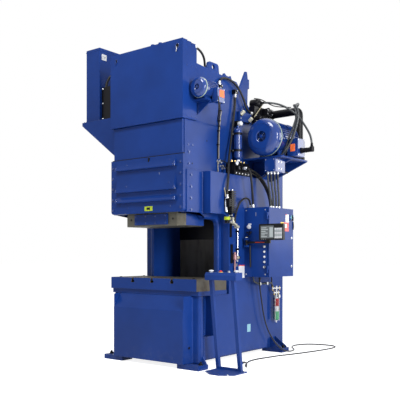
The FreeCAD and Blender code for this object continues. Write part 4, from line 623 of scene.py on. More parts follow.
class Shape:
    """One piece in the making: solids of several finishes in one mesh, in the drawing's millimetres."""

    def __init__(self, name: str) -> None:
        self.name = name
        self.mesh = bmesh.new()
        self.finishes: list[Finish] = []
        self.screws: list[Screw] = []

    def _index(self, finish: Finish) -> int:
        """The finish's place in the piece's list."""
        if finish not in self.finishes:
            self.finishes.append(finish)
        return self.finishes.index(finish)

    def _join(self, part: bmesh.types.BMesh, finish: Finish | None) -> "Shape":
        """Move a solid into the piece, in one finish unless its faces have theirs."""
        if finish:
            index = self._index(finish)
            for face in part.faces:
                face.material_index = index
        solid = bpy.data.meshes.new("solid")
        part.to_mesh(solid)
        part.free()
        self.mesh.from_mesh(solid)
        bpy.data.meshes.remove(solid)
        return self

    def _bevel(self, part: bmesh.types.BMesh, edges: Sequence[bmesh.types.BMEdge], width: float) -> None:
        """Round some of a solid's edges."""
        if width:
            bmesh.ops.bevel(part, geom=list(edges), offset=width, segments=2, profile=0.5, affect="EDGES",
                            clamp_overlap=True)

    def block(self, low: Point, high: Point, finish: Finish, edge: float = 0.0) -> "Shape":
        """Add a box.

        Args:
            low: its lowest corner.
            high: its highest corner.
            finish: what it is dressed in.
            edge: how far its edges are rounded.

        Returns:
            This piece.
        """
        part = bmesh.new()
        middle = (Vector(low) + Vector(high)) / 2
        size = Vector(high) - Vector(low)
        bmesh.ops.create_cube(part, size=1, matrix=Matrix.LocRotScale(middle, None, size))
        self._bevel(part, part.edges, edge)
        return self._join(part, finish)

    def lathe(self, along: Along | Vector, centre: Point, profile: Sequence[Pair], finish: Finish,
              sides: int = 40, hollow: bool = False) -> "Shape":
        """Add a turned solid.

        Args:
            along: the direction of its axis.
            centre: a point that the profile's places are measured from.
            profile: places along the axis and radii, from one end to the other. A solid's ends are
                closed flat where it doesn't end on the axis.
            finish: what it is dressed in.
            sides: how many sides a ring has.
            hollow: whether the profile closes on itself about an open middle.

        Returns:
            This piece.
        """
        part = bmesh.new()
        axis = Vector(along.value) if isinstance(along, Along) else along.normalized()
        first = axis.cross(Vector((0, 0, 1)) if abs(axis.z) < 0.9 else Vector((0, 1, 0))).normalized()
        second = axis.cross(first)
        outline, rings = list(profile), []
        if not hollow and profile[0][1]:
            outline.insert(0, (profile[0][0], 0))
        if not hollow and profile[-1][1]:
            outline.append((profile[-1][0], 0))
        for place, radius in outline:
            steps = [math.tau * step / sides for step in range(sides if radius > 1e-6 else 1)]
            rings.append([part.verts.new(Vector(centre) + axis * place + radius
                                         * (first * math.cos(turn) + second * math.sin(turn)))
                          for turn in steps])
        pairs = list(zip(rings, rings[1:])) + ([(rings[-1], rings[0])] if hollow else [])
        for near, far in pairs:
            for step in range(sides):
                following = (step + 1) % sides
                corners = list(dict.fromkeys([near[step % len(near)], near[following % len(near)],
                                              far[following % len(far)], far[step % len(far)]]))
                if len(corners) > 2:
                    part.faces.new(corners)
        bmesh.ops.recalc_face_normals(part, faces=part.faces)
        return self._join(part, finish)

    def bar(self, along: Along | Vector, centre: Point, low: float, high: float, radius: float,
            finish: Finish, sides: int = 40) -> "Shape":
        """Add a plain round bar that runs from low to high along its axis."""
        return self.lathe(along, centre, [(low, radius), (high, radius)], finish, sides)

    def hoop(self, along: Along | Vector, centre: Point, radius: float, thick: float, finish: Finish,
             sides: int = 40) -> "Shape":
        """Add a round bar bent to a ring about an axis."""
        profile = [(thick * math.sin(math.tau * step / 8), radius + thick * math.cos(math.tau * step / 8))
                   for step in range(8)]
        return self.lathe(along, centre, profile, finish, sides, True)

    def prism(self, along: Along, outline: Sequence[Pair], low: float, high: float,
              finish: Finish, edge: float = 0.0) -> "Shape":
        """Add a straight prism.

        Args:
            along: the direction that it runs in.
            outline: its corners on the other two axes, in X, Y, Z order.
            low: where it starts.
            high: where it ends.
            finish: what it is dressed in.
            edge: how far its edges are rounded.

        Returns:
            This piece.
        """
        part = bmesh.new()
        ends = []
        for place in (low, high):
            corners = []
            for first, second in outline:
                spot = [first, second]
                spot.insert(along.index, place)
                corners.append(part.verts.new(spot))
            ends.append(corners)
            part.faces.new(corners)
        for step in range(len(outline)):
            following = (step + 1) % len(outline)
            part.faces.new([ends[0][step], ends[0][following], ends[1][following], ends[1][step]])
        bmesh.ops.recalc_face_normals(part, faces=part.faces)
        self._bevel(part, part.edges, edge)
        return self._join(part, finish)

    def take(self, made: bpy.types.Mesh, finish: Finish, turn: Matrix | None = None) -> "Shape":
        """Add a made mesh, turned and carried to its place, and drop it."""
        made.transform(turn or Matrix.Identity(4))
        made.polygons.foreach_set("material_index", [self._index(finish)] * len(made.polygons))
        self.mesh.from_mesh(made)
        bpy.data.meshes.remove(made)
        return self

    def pipe(self, route: Sequence[Point], radius: float, finish: Finish, fine: int = 10) -> "Shape":
        """Add a smooth round line along a route's control points."""
        return self.take(traced(route, radius, fine), finish)

    def conduit(self, route: Sequence[Point], radius: float, finish: Finish, ripple: float = 0.08,
                pitch: float = 8.0) -> "Shape":
        """Add a corrugated line along a route's control points."""
        sizes = {"Radius": radius, "Ripple": ripple, "Pitch": pitch, "Sides": 12}
        return self.take(RIPPLES.grow(traced(route), finish, sizes), finish)

    def bead(self, corners: Sequence[Point], radius: float, finish: Finish) -> "Shape":
        """Add a weld bead along straight runs."""
        for run in zip(corners, corners[1:]):
            self.take(RIPPLES.grow(seeded(run, joined=True), finish, {"Radius": radius, **WELD}), finish)
        return self

    def fins(self, along: Along, centre: Point, finish: Finish, **sizes: float) -> "Shape":
        """Add fins round an axis, with the sizes that the fin tree names."""
        return self._repeat(FINS, along, centre, finish, sizes)

    def rows(self, along: Along, start: Point, finish: Finish, **sizes: float) -> "Shape":
        """Add a row of plates along an axis, with the sizes that the row tree names."""
        return self._repeat(ROWS, along, start, finish, sizes)

    def _repeat(self, tree: Growth, along: Along, place: Point, finish: Finish, sizes: dict) -> "Shape":
        """Add what a tree grows on one point, turned onto an axis and carried to a place."""
        named = {label.capitalize(): size for label, size in sizes.items()}
        grown = tree.grow(seeded([(0, 0, 0)]), finish, named)
        return self.take(grown, finish, Matrix.Translation(place) @ along.turn)

    def screw(self, places: Iterable[Point], facing: Point, radius: float, high: float,
              finish: Finish = GLOSS, sides: int = HEXAGON) -> "Shape":
        """Add bolt heads or nuts that stand on places and face one way."""
        for place in places:
            self.screws.append(Screw(place, facing, radius, high, finish, sides))
        return self

    def coupling(self, place: Point, towards: Point, radius: float, finish: Finish = ZINC) -> "Shape":
        """Add the hexagon nut and crimped ferrule at a hose's end.

        Args:
            place: where the hose meets what it serves.
            towards: the point that the hose leaves towards.
            radius: the hose's radius.
            finish: what the coupling is dressed in.

        Returns:
            This piece.
        """
        axis = (Vector(towards) - Vector(place)).normalized()
        self.lathe(axis, place, [(0, radius * 1.5), (2, radius * 1.62), (radius * 1.1, radius * 1.62),
                                 (radius * 1.2, radius * 1.5)], finish, HEXAGON)
        profile = [(radius * 1.2, 0.0), (radius * 1.2, radius * 1.2)]
        for step in range(4):
            low = radius * (1.3 + 0.5 * step)
            profile += [(low, radius * 1.3), (low + radius * 0.3, radius * 1.3),
                        (low + radius * 0.36, radius * 1.2), (low + radius * 0.44, radius * 1.2)]
        return self.lathe(axis, place, profile + [(radius * 3.4, radius), (radius * 3.4, 0.0)], finish, 20)

    def cad(self, node: str, finish: Finish, width: float,
            other: Callable[[Vector, Vector], Finish | None] | None = None,
            level: Callable[[Vector], float] | None = None) -> "Shape":
        """Add a copy of a CAD node with its edges worked round.

        Args:
            node: the CAD node.
            finish: what it is dressed in.
            width: how far the edges are rounded.
            other: gives another finish for a face from its normal and its middle.
            level: gives the height that a corner of the copy is trimmed to.

        Returns:
            This piece.
        """
        own = bmesh.new()
        own.from_mesh(frame["nodes"][node].data)
        bmesh.ops.scale(own, vec=(METRE, METRE, METRE), verts=own.verts)
        bmesh.ops.translate(own, vec=(0, DEPTH, 0), verts=own.verts)
        bmesh.ops.remove_doubles(own, verts=own.verts, dist=0.01)
        for corner in own.verts if level else ():
            corner.co.z = level(corner.co)
        bmesh.ops.dissolve_limit(own, angle_limit=FLAT, verts=own.verts, edges=own.edges)
        sharp = [side for side in own.edges if side.is_manifold and side.calc_face_angle(0.0) > SHARP]
        self._bevel(own, sharp, width)
        for face in own.faces:
            dress = other(face.normal, face.calc_center_median()) if other else None
            face.material_index = self._index(dress or finish)
        return self._join(own, None)

    def _drive(self) -> None:
        """Grow the waiting screws, each kind at once."""
        kinds: dict[tuple, list[Screw]] = {}
        for screw in self.screws:
            kinds.setdefault((screw.radius, screw.high, screw.finish, screw.sides), []).append(screw)
        for (radius, high, finish, sides), several in kinds.items():
            seed = seeded([screw.place for screw in several], [screw.facing for screw in several])
            self.take(FASTENERS.grow(seed, finish, {"Radius": radius, "High": high, "Sides": sides}), finish)

    def done(self, body: str = "frame", *stands_for: str) -> bpy.types.Object:
        """Make the object, in metres about the origin, and let it ride.

        Args:
            body: the body that carries it.
            stands_for: the CAD nodes that it replaces.

        Returns:
            The object.
        """
        self._drive()
        bmesh.ops.translate(self.mesh, vec=(0, -DEPTH, 0), verts=self.mesh.verts)
        bmesh.ops.scale(self.mesh, vec=(1 / METRE, 1 / METRE, 1 / METRE), verts=self.mesh.verts)
        for face in self.mesh.faces:
            face.smooth = True
        for side in self.mesh.edges:
            side.smooth = side.is_manifold and side.calc_face_angle(0.0) < SMOOTH
        data = bpy.data.meshes.new(self.name)
        self.mesh.to_mesh(data)
        self.mesh.free()
        for finish in self.finishes:
            data.materials.append(finish.material())
        piece = bpy.data.objects.new(self.name, data)
        bpy.context.scene.collection.objects.link(piece)
        weigh = piece.modifiers.new("weigh", "WEIGHTED_NORMAL")
        weigh.keep_sharp = True
        weigh.weight = 80
        weighed = bpy.data.meshes.new_from_object(piece.evaluated_get(bpy.context.evaluated_depsgraph_get()))
        piece.modifiers.remove(weigh)
        piece.data = weighed
        bpy.data.meshes.remove(data)
        weighed.name = self.name
        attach(piece, body)
        if stands_for:
            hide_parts(*stands_for)
        log.info("%s rides on %s, %d faces", self.name, body, len(weighed.polygons))
        return piece


def worked(node: str, finish: Finish, width: float, body: str = "frame") -> bpy.types.Object:
    """A copy of a CAD node with worked edges that stands for it."""
    return Shape(node + "_worked").cad(node, finish, width).done(body, node)


def about(centre: Point, radius: float, count: int, along: Along, start: float = 0.0) -> list[Point]:
    """Points spaced evenly on a circle about an axis."""
    spots = []
    for step in range(count):
        turn = start + math.tau * step / count
        spot = [radius * math.cos(turn), radius * math.sin(turn)]
        spot.insert(along.index, 0.0)
        spots.append(tuple(Vector(spot) + Vector(centre)))
    return spots


def corners_of(first: Pair, second: Pair, inset: float) -> list[Pair]:
    """The four corners of a rectangle, moved in from its sides."""
    (a, b), (c, d) = first, second
    return [(a + inset, b + inset), (c - inset, b + inset), (c - inset, d - inset), (a + inset, d - inset)]


# ------------------------------------------------------------------------------ frame

@dataclass
class Frame:
    """The welded frame: plates with worked edges, weld beads, feet with anchors and rear covers."""

    half: float = 530.0
    pad: float = 642.0
    edge: float = 4.0
    round: float = 11.0
    bead: float = 6.0
    depth: float = 2050.0
    crest: tuple = ((30, 3370), (1000, 3300), (1250, 3050), (2050, 2790))
    foot: float = 54.0
    shade: float = 1430.0
    hem: float = 1540.0
    roof: float = 1640.0
    nose: float = 340.0
    rise: float = 64.0
    anchor: float = 685.0

    def plates(self) -> None:
        """Work the edges of the plates that keep their CAD shape; paint a shadow band on the throat back."""
        def trim(corner: Vector) -> float:
            """The height of a corner, with the nose of the jaw cut back to the apron's hem."""
            nose = self.hem < corner.z < self.roof and corner.y < self.nose
            return self.roof + self.rise if nose else corner.z
        for node in ("side_plate_left", "side_plate_right"):
            Shape(node + "_worked").cad(node, BLUE, self.edge, None, trim).done("frame", node)
        for node in ("doubler_left", "doubler_right", "bed_front_plate", "bed_top_plate", "top_lugs",
                     "lifting_ears", "crosshead"):
            worked(node, BLUE, self.edge)
        Shape("gib_housings_worked").cad("gib_housings", BLUE, self.round, None,
                                         trim).done("frame", "gib_housings")
        worked("gibs", BRONZE, 1.0)
        shape = Shape("throat_back_worked").cad("throat_back_plate", DARK, 2.0)
        # painted shadow: a black band across the top of the throat back, under the slide
        shape.block((-468, 1134, self.shade), (468, 1142, 1808), NIGHT, 1.0)
        shape.done("frame", "throat_back_plate")

    def beads(self) -> None:
        """Lay the weld beads that join the plates."""
        shape = Shape("frame_welds")
        for sign in (-1, 1):
            x = sign * (self.half + 1)
            shape.bead([(x, 1503, 97), (x, 1503, 2172), (x, 338, 2172), (x, 338, 2168)], self.bead, BLUE)
            shape.bead([(x, 337, 2170), (x, 337, 1702)], self.bead, BLUE)
            inner = sign * 468
            shape.bead([(inner, y + 4, z + 2) for y, z in self.crest], self.bead, BLUE)
            shape.bead([(inner, 2052, 345), (inner, 2052, 2765)], self.bead, BLUE)
            shape.bead([(sign * 658, 204, 60), (sign * 658, 204, 785)], self.bead - 1, BLUE)
        shape.bead([(-646, 112, 842), (646, 112, 842)], 4.0, BLUE)
        shape.done()

    def feet(self) -> None:
        """The welded feet with their gussets, anchor studs, washers and nuts."""
        shape = Shape("feet_worked").cad("feet", BLUE, self.edge)
        for sign in (-1, 1):
            for y in (115, 1805):
                place = (sign * self.anchor, y, self.foot)
                shape.screw([place], UP, 21, 22, NIGHT)
                shape.lathe(Along.Z, place, [(-20, 12), (34, 12), (36, 10)], NIGHT, 12)
            front = [(sign * 650, 50), (sign * 712, 50), (sign * 706, 66), (sign * 650, 150)]
            shape.prism(Along.Y, front, 176, 194, BLUE, 1.5)
            rear = [(sign * 526, 50), (sign * 700, 50), (sign * 694, 70), (sign * 526, 190)]
            for y in (1740, 1860):
                shape.prism(Along.Y, rear, y, y + 16, BLUE, 1.5)
            shape.bead([(sign * 716, 176, 56), (sign * 655, 174, 56)], 4.0, BLUE)
        shape.done("frame", "feet")

    def columns(self) -> None:
        """The folded corner columns, with a black disc painted as the shade of the round hole in each slanted
        face.
        """
        shape = Shape("bed_columns_worked").cad("bed_columns", BLUE, self.round)
        for sign in (-1, 1):
            out = Vector((sign * 130, -29, 0)).normalized()
            # painted shade: the black disc stands for the inside of the hole
            shape.bar(out, (sign * 548.5, 83, 228), -6, 0.8, 15, NIGHT, 24)
            shape.hoop(out, (sign * 548.5, 83, 228), 16, 2.2, BLUE, 24)
        shape.done("frame", "bed_columns")

    def rear(self) -> None:
        """The rear plate with its bolted covers, louvres and grips, and the hatch on the crown."""
        shape = Shape("rear_plate_worked").cad("rear_plate", BLUE, 3.0)
        back = self.depth
        for low, high in (((-330, 560), (330, 1480)), ((-330, 1600), (330, 2240))):
            shape.block((low[0], back, low[1]), (high[0], back + 7, high[1]), BLUE, 1.5)
            (a, b), (c, d) = low, high
            ring = [(a + 25 + (c - a - 50) * s / 3, z) for s in range(4) for z in (b + 25, d - 25)]
            ring += [(x, b + 25 + (d - b - 50) * s / 4) for s in range(1, 4) for x in (a + 25, c - 25)]
            shape.screw([(x, back + 7, z) for x, z in ring], BACK, 9, 7)
            for x in (-150, 150):
                shape.rows(Along.Z, (x, back + 10, b + 120), BLUE, count=10, pitch=32, wide=210, deep=16,
                           thick=3, tilt=-0.6)
                shape.hoop(Along.X, (x, back + 7, d - 90), 26, 5, ZINC, 20)
        shape.done("frame", "rear_plate")
        shape = Shape("crown_top_worked").cad("crown_top_plate", BLUE, 2.0)
        rise = (self.crest[1][1] - self.crest[0][1]) / (self.crest[1][0] - self.crest[0][0])
        level = [(y, self.crest[0][1] + rise * (y - self.crest[0][0])) for y in (480, 900)]
        lid = level + [(y, z + 8) for y, z in reversed(level)]
        shape.prism(Along.X, lid, -230, 230, BLUE, 1.5)
        up = Vector((0, -rise, 1)).normalized()
        for y, z in [(500 + 90 * s, level[0][1] + rise * (20 + 90 * s) + 8) for s in range(5)]:
            shape.screw([(-210, y, z), (210, y, z)], tuple(up), 9, 8)
        shape.lathe(Along.Z, (440, 500, 3345), [(0, 25), (4, 30), (16, 30), (20, 24)], ZINC, HEXAGON)
        shape.done("frame", "crown_top_plate")

    def sides(self) -> None:
        """Plates, plugs, and black discs painted as the shade of holes, on the side plates that nothing else
        covers.
        """
        shape = Shape("side_plate_fittings")
        x = self.half
        shape.block((-x - 6, 1600, 900), (1 - x, 1960, 1690), BLUE, 1.5)
        shape.screw([(-x - 6, y, z) for y in (1620, 1780, 1940) for z in (920, 1295, 1670)], LEFT, 8, 6)
        # painted shade: black discs stand for the holes
        for y, z in ((160, 2240), (180, 2090), (420, 2520), (700, 2260)):
            shape.bar(Along.X, (x, y, z), -3, 1, 9, NIGHT, 16)
        plate = [(self.pad, 882, 967), (self.pad + 1.6, 1006, 1119)]
        shape.block(plate[0], plate[1], WHITE, 0.6)
        shape.block((self.pad, 882, 1108), (self.pad + 2.0, 1006, 1119), RED, 0.4)
        shape.screw([(self.pad + 1.6, y, z) for y in (890, 998) for z in (975, 1100)], RIGHT, 3.5, 2.5, ZINC,
                    12)
        shape.block((self.pad, 1058, 318), (self.pad + 1.4, 1128, 410), SKY, 0.5)
        for sign in (-1, 1):
            shape.lathe(Along.X, (sign * self.pad, 1360, 1320), [(0, 22), (sign * 6, 19)], BLUE, 24)
        shape.done()

    def build(self) -> None:
        """Build the frame."""
        self.plates()
        self.beads()
        self.feet()
        self.columns()
        self.rear()
        self.sides()


@dataclass
class Covers:
    """The crown cover, the middle cover and the apron with its lips, bolts and blank patch."""

    half: float = 553.0
    front: float = -30.0
    apron: float = -20.0
    lip: float = -56.0
    edge: float = 14.0
    lips: tuple = ((2205, 95), (1952, 180), (1833, 62))

    def crown(self) -> None:
        """The crown cover with its hem, lifting eyes and roof screws, and the plain cover under it."""
        shape = Shape("crown_cover_worked").cad("crown_cover", BLUE, 3.0)
        shape.block((-self.half - 1, self.front - 3, 2711), (self.half + 1, self.front + 4, 2726), BLUE, 1.5)
        for x, size, metal in ((478, 1.0, ZINC), (-455, 0.75, BLUE)):
            place = (x, self.front, 3492)
            # painted shade: a black disc stands for the hole of each lifting eye
            shape.bar(Along.Y, place, 2, -1.5, 24 * size, NIGHT, 24)
            shape.hoop(Along.Y, (x, self.front - 2, 3492), 25 * size, 4 * size, GLOSS, 24)
            hook = [(x - 4, self.front - 4, 3478), (x - 2, self.front - 17, 3474),
                    (x + 4, self.front - 17, 3452), (x - 10, self.front - 10, 3436),
                    (x - 14, self.front - 2, 3432)]
            shape.pipe(hook if size == 1.0 else [(px, py, pz + 14) for px, py, pz in hook], 5 * size, metal)
        for x in (102, 214):
            shape.lathe(Along.Z, (x, -8, 3555), [(0, 25), (20, 25), (26, 19), (28, 0)], BLUE, HEXAGON)
        for y in (40, 120, 190):
            shape.screw([(self.half, y, 2745), (self.half, y, 3290)], RIGHT, 6, 4)
            shape.screw([(-self.half, y, 2900 + y), (-self.half, y, 3290)], LEFT, 6, 4)
        shape.done("frame", "crown_cover")
        worked("middle_cover", BLUE, 3.0)

    def face_at(self, level: float) -> float:
        """How far back the apron's face is at a level, on a lip or between two."""
        for low, high in self.lips:
            if low + self.edge < level < low + high:
                share = (level - low - self.edge) / (high - self.edge)
                return self.lip + share * (self.apron - self.lip)
        return self.apron

    def skirt(self) -> None:
        """The apron: bolts round its edge, studs on its lips, the painted shade of its top joint and of the
        slot, the seam and the patch.
        """
        shape = Shape("apron_worked").cad("apron", BLUE, 3.0)
        for level, high in self.lips:
            for x in (-447, 447):
                shape.lathe(Along.Z, (x, self.lip + 13, level), [(0, 13), (30, 13), (44, 5)], GLOSS, 24)
            shape.bar(Along.Y, (436, self.lip, level + 8), 0.2, 5, 9, ZINC, 16)
        left = [(-276, z) for z in (2263, 2017, 1770)]
        right = [(371, z) for z in (2274, 2025, 1896, 1771)]
        for x, z in left + right:
            shape.screw([(x, self.face_at(z) + 1, z)], FRONT, 8, 7, GLOSS)
        # painted shadow: a black strip where the middle cover meets the apron's top
        shape.block((-543, -6, 2329), (543, 14, 2340), NIGHT, 1.0)
        shape.block((206, self.apron - 1.5, 1990), (210, self.apron + 1, 2150), GREY, 0.5)
        # painted shade: a raised black block stands for the slot in the apron's top
        shape.block((46, self.apron - 12, 2272), (64, self.apron + 2, 2322), NIGHT, 2.0)
        shape.block((-14, self.apron - 2, 1729), (106, self.apron + 1, 1781), LIME, 0.8)
        shape.block((18, self.apron - 2.6, 1742), (70, self.apron, 1768), NIGHT, 0.5)
        shape.done("frame", "apron")

    def bolts(self) -> None:
        """The heads of the apron's edge bolts and of the gib bolts on both sides."""
        shape = Shape("cover_bolts_turned")
        levels = [2329 - 85 - 122 * step for step in range(5)]
        shape.screw([(sign * 519, self.apron, z) for sign in (-1, 1) for z in levels], FRONT, 13, 11)
        for step in range(6):
            seat = 530 if step < 2 else 560
            shape.screw([(seat, 100, 2359 - 126 * step)], RIGHT, 13, 11)
            shape.screw([(-seat, 100, 2359 - 126 * step)], LEFT, 13, 11)
        shape.screw([(530, 90 + 70 * step, 2440) for step in range(2)], RIGHT, 9, 8)
        shape.done("frame", "cover_bolts")

    def build(self) -> None:
        """Build the covers."""
        self.crown()
        self.skirt()
        self.bolts()


@dataclass
class Tooling:
    """The slide with its face plate, the press cylinder with its rod and the bolster."""

    half: float = 386.0
    front: float = 80.0

    def slide(self) -> None:
        """The bare slide with its painted front plate and flanks, its chrome rod and the cylinder."""
        shape = Shape("slide_worked").cad("slide", SLIDE_STEEL, 2.0)
        for x in (-320, 320):
            shape.bar(Along.Y, (x, self.front, 1640), 2, -0.6, 13, NIGHT, 20)
        shape.done("slide", "slide")
        shape = Shape("slide_face_worked").cad("slide_face_plate", BLUE, 2.5)
        shape.screw([(x, 60, z) for x in (-225, -75, 75, 225) for z in (1598, 1678)], FRONT, 8, 5)
        shape.done("slide", "slide_face_plate")
        shape = Shape("slide_flanks")
        for sign in (-1, 1):
            flat = [(self.half - 1, self.front + 2), (452, 146), (452, 466), (self.half - 1, 466)]
            shape.prism(Along.Z, [(sign * x, y) for x, y in flat], 1564, 1698, SLIDE_STEEL, 3.0)
            shape.block((sign * 452 - 1.5, 150, 1567), (sign * 452 + 1.5, 462, 1695), BLUE, 1.0)
        shape.done("slide")
        worked("piston_rod", CHROME, 1.5, "slide")
        worked("main_cylinder", BLUE, 3.0)

    def bolster(self) -> None:
        """The bolster: bare on top and at its ends, painted on its front."""
        def dress(normal: Vector, middle: Vector) -> Finish | None:
            """Paint on the front face."""
            return BLUE if normal.y < -0.5 and middle.x < 640 else None
        shape = Shape("bolster_worked").cad("bolster", PLATE, 3.0, dress)
        for x in (-560, 560):
            for y in (150, 550):
                shape.screw([(x, y, 975)], UP, 15, 8, NIGHT)
        shape.done("frame", "bolster")

    def build(self) -> None:
        """Build the tooling."""
        self.slide()
        self.bolster()


@dataclass
class Tank:
    """The oil tank on its bracket at the left, and the finned cooler in the gap beside it."""

    left: float = -1120.0
    right: float = -880.0
    front: float = 100.0
    back: float = 700.0
    low: float = 2870.0
    high: float = 3770.0

    def tank(self) -> None:
        """The tank with its rim, level gauge, filler, drain and blank plate, the bracket, and the shroud,
        whose black is partly painted shade of the gap.
        """
        shape = Shape("oil_tank_worked").cad("oil_tank", BLUE, 2.5)
        a, b, c, d = self.left, self.right, self.front, self.back
        for low in (self.high - 34, self.low + 8):
            shape.block((a - 2, c - 2, low), (b + 2, d + 2, low + 12), BLUE, 1.5)
        shape.block((b - 1, 136, 3626), (b + 1.8, 216, 3700), WHITE, 0.6)
        shape.block((b, 146, 3668), (b + 2.4, 206, 3673), GREY, 0.3)
        shape.block((b, 146, 3650), (b + 2.4, 190, 3654), GREY, 0.3)
        shape.lathe(Along.X, (a, 260, 3300), [(0, 26), (-9, 26), (-12, 20)], ZINC, 24)
        shape.block((a - 9, 390, 3000), (a + 1, 420, 3420), ZINC, 2.0)
        shape.block((a - 11, 398, 3025), (a - 4, 412, 3395), CLEAR_BOWL, 1.0)
        shape.screw([(a - 9, 405, z) for z in (3010, 3410)], LEFT, 7, 6, ZINC)
        shape.lathe(Along.Y, (-1000, d, 2930), [(0, 22), (14, 22), (14, 12), (40, 12)], ZINC, HEXAGON)
        shape.block((-1080, d, 3120), (-920, d + 7, 3360), BLUE, 1.5)
        shape.screw([(x, d + 7, z) for x in (-1064, -936) for z in (3136, 3240, 3344)], BACK, 7, 6)
        shape.done("frame", "oil_tank")
        shape = Shape("tank_bracket_worked").cad("tank_bracket", BLUE, 4.0)
        shape.screw([(x, y, 2874) for x in (-1126, -868) for y in (80, 715)], UP, 9, 8)
        shape.bead([(-532, 212, 2384), (-532, 728, 2384)], 6, BLUE)
        shape.bead([(a - 2, c + 10, 2872), (a - 2, d - 10, 2872)], 4, BLUE)
        shape.done("frame", "tank_bracket")
        shape = Shape("cooler_shroud_and_gap_shade")
        # painted shade: this black sheet fills the gap beside the tank and stands partly for the gap's shade
        shape.block((b + 2, c + 34, self.low + 4), (-562, c + 58, 3286), NIGHT, 4.0)
        shape.block((b + 8, c + 56, 3200), (-570, 470, 3282), CAST, 4.0)
        shape.pipe([(-820, 150, 3280), (-818, 160, 3340), (-790, 190, 3420), (-740, 260, 3470),
                    (-640, 330, 3480), (-562, 340, 3478)], 16, RUBBER)
        shape.pipe([(-700, 150, 3280), (-698, 165, 3330), (-660, 200, 3380), (-562, 240, 3390)], 14, RUBBER)
        shape.screw([(x, c + 34, z) for x in (-860, -582) for z in (2900, 3090, 3264)], FRONT, 8, 7, ZINC)
        shape.done()

    def cooler(self) -> None:
        """The cooler's headers, fin pack, fan ring with its guard and motor, and its two lines."""
        shape = Shape("oil_cooler_dressed")
        low, high = (-868, 162, 2872), (-622, 458, 3158)
        for y in (low[1], high[1] - 24):
            shape.block((low[0], y, low[2]), (high[0], y + 24, high[2]), CAST, 4.0)
        for x in (low[0], high[0] - 10):
            shape.block((x, low[1] + 10, low[2]), (x + 10, high[1] - 10, low[2] + 22), CAST, 2.0)
            shape.block((x, low[1] + 10, high[2] - 22), (x + 10, high[1] - 10, high[2]), CAST, 2.0)
        shape.rows(Along.Z, (-745, 310, low[2] + 12), CAST, count=34, pitch=8, wide=226, deep=250, thick=2)
        for y in (220, 280, 340, 400):
            shape.block((-858, y - 5, low[2] + 4), (-632, y + 5, high[2] - 4), CAST, 1.0)
        top = (-745, 310, high[2])
        shape.lathe(Along.Z, top, [(0, 80), (0, 88), (30, 88), (30, 80)], CAST, 40, True)
        shape.lathe(Along.Z, top, [(0, 24), (26, 24), (29, 16)], CAST, 24)
        shape.fins(Along.Z, (-745, 310, high[2] + 14), MOULDED, count=7, radius=48, deep=50, thick=3, long=20)
        back = (-745, high[1], 3015)
        for radius in (28, 52, 76, 98):
            shape.hoop(Along.Y, back, radius, 1.8, ZINC, 32)
        shape.fins(Along.Y, back, ZINC, count=6, radius=56, deep=84, thick=3, long=3)
        for z in (2930, 3110):
            shape.lathe(Along.X, (-622, 220, z), [(0, 20), (8, 22), (22, 22), (24, 14)], BRASS, HEXAGON)
            shape.pipe([(-600, 220, z), (-580, 220, z), (-560, 222, z), (-532, 230, z)], 11, CAST)
        shape.done("frame", "oil_cooler")

    def build(self) -> None:
        """Build the tank and cooler."""
        self.tank()
        self.cooler()


# ------------------------------------------------------------------------------ drives

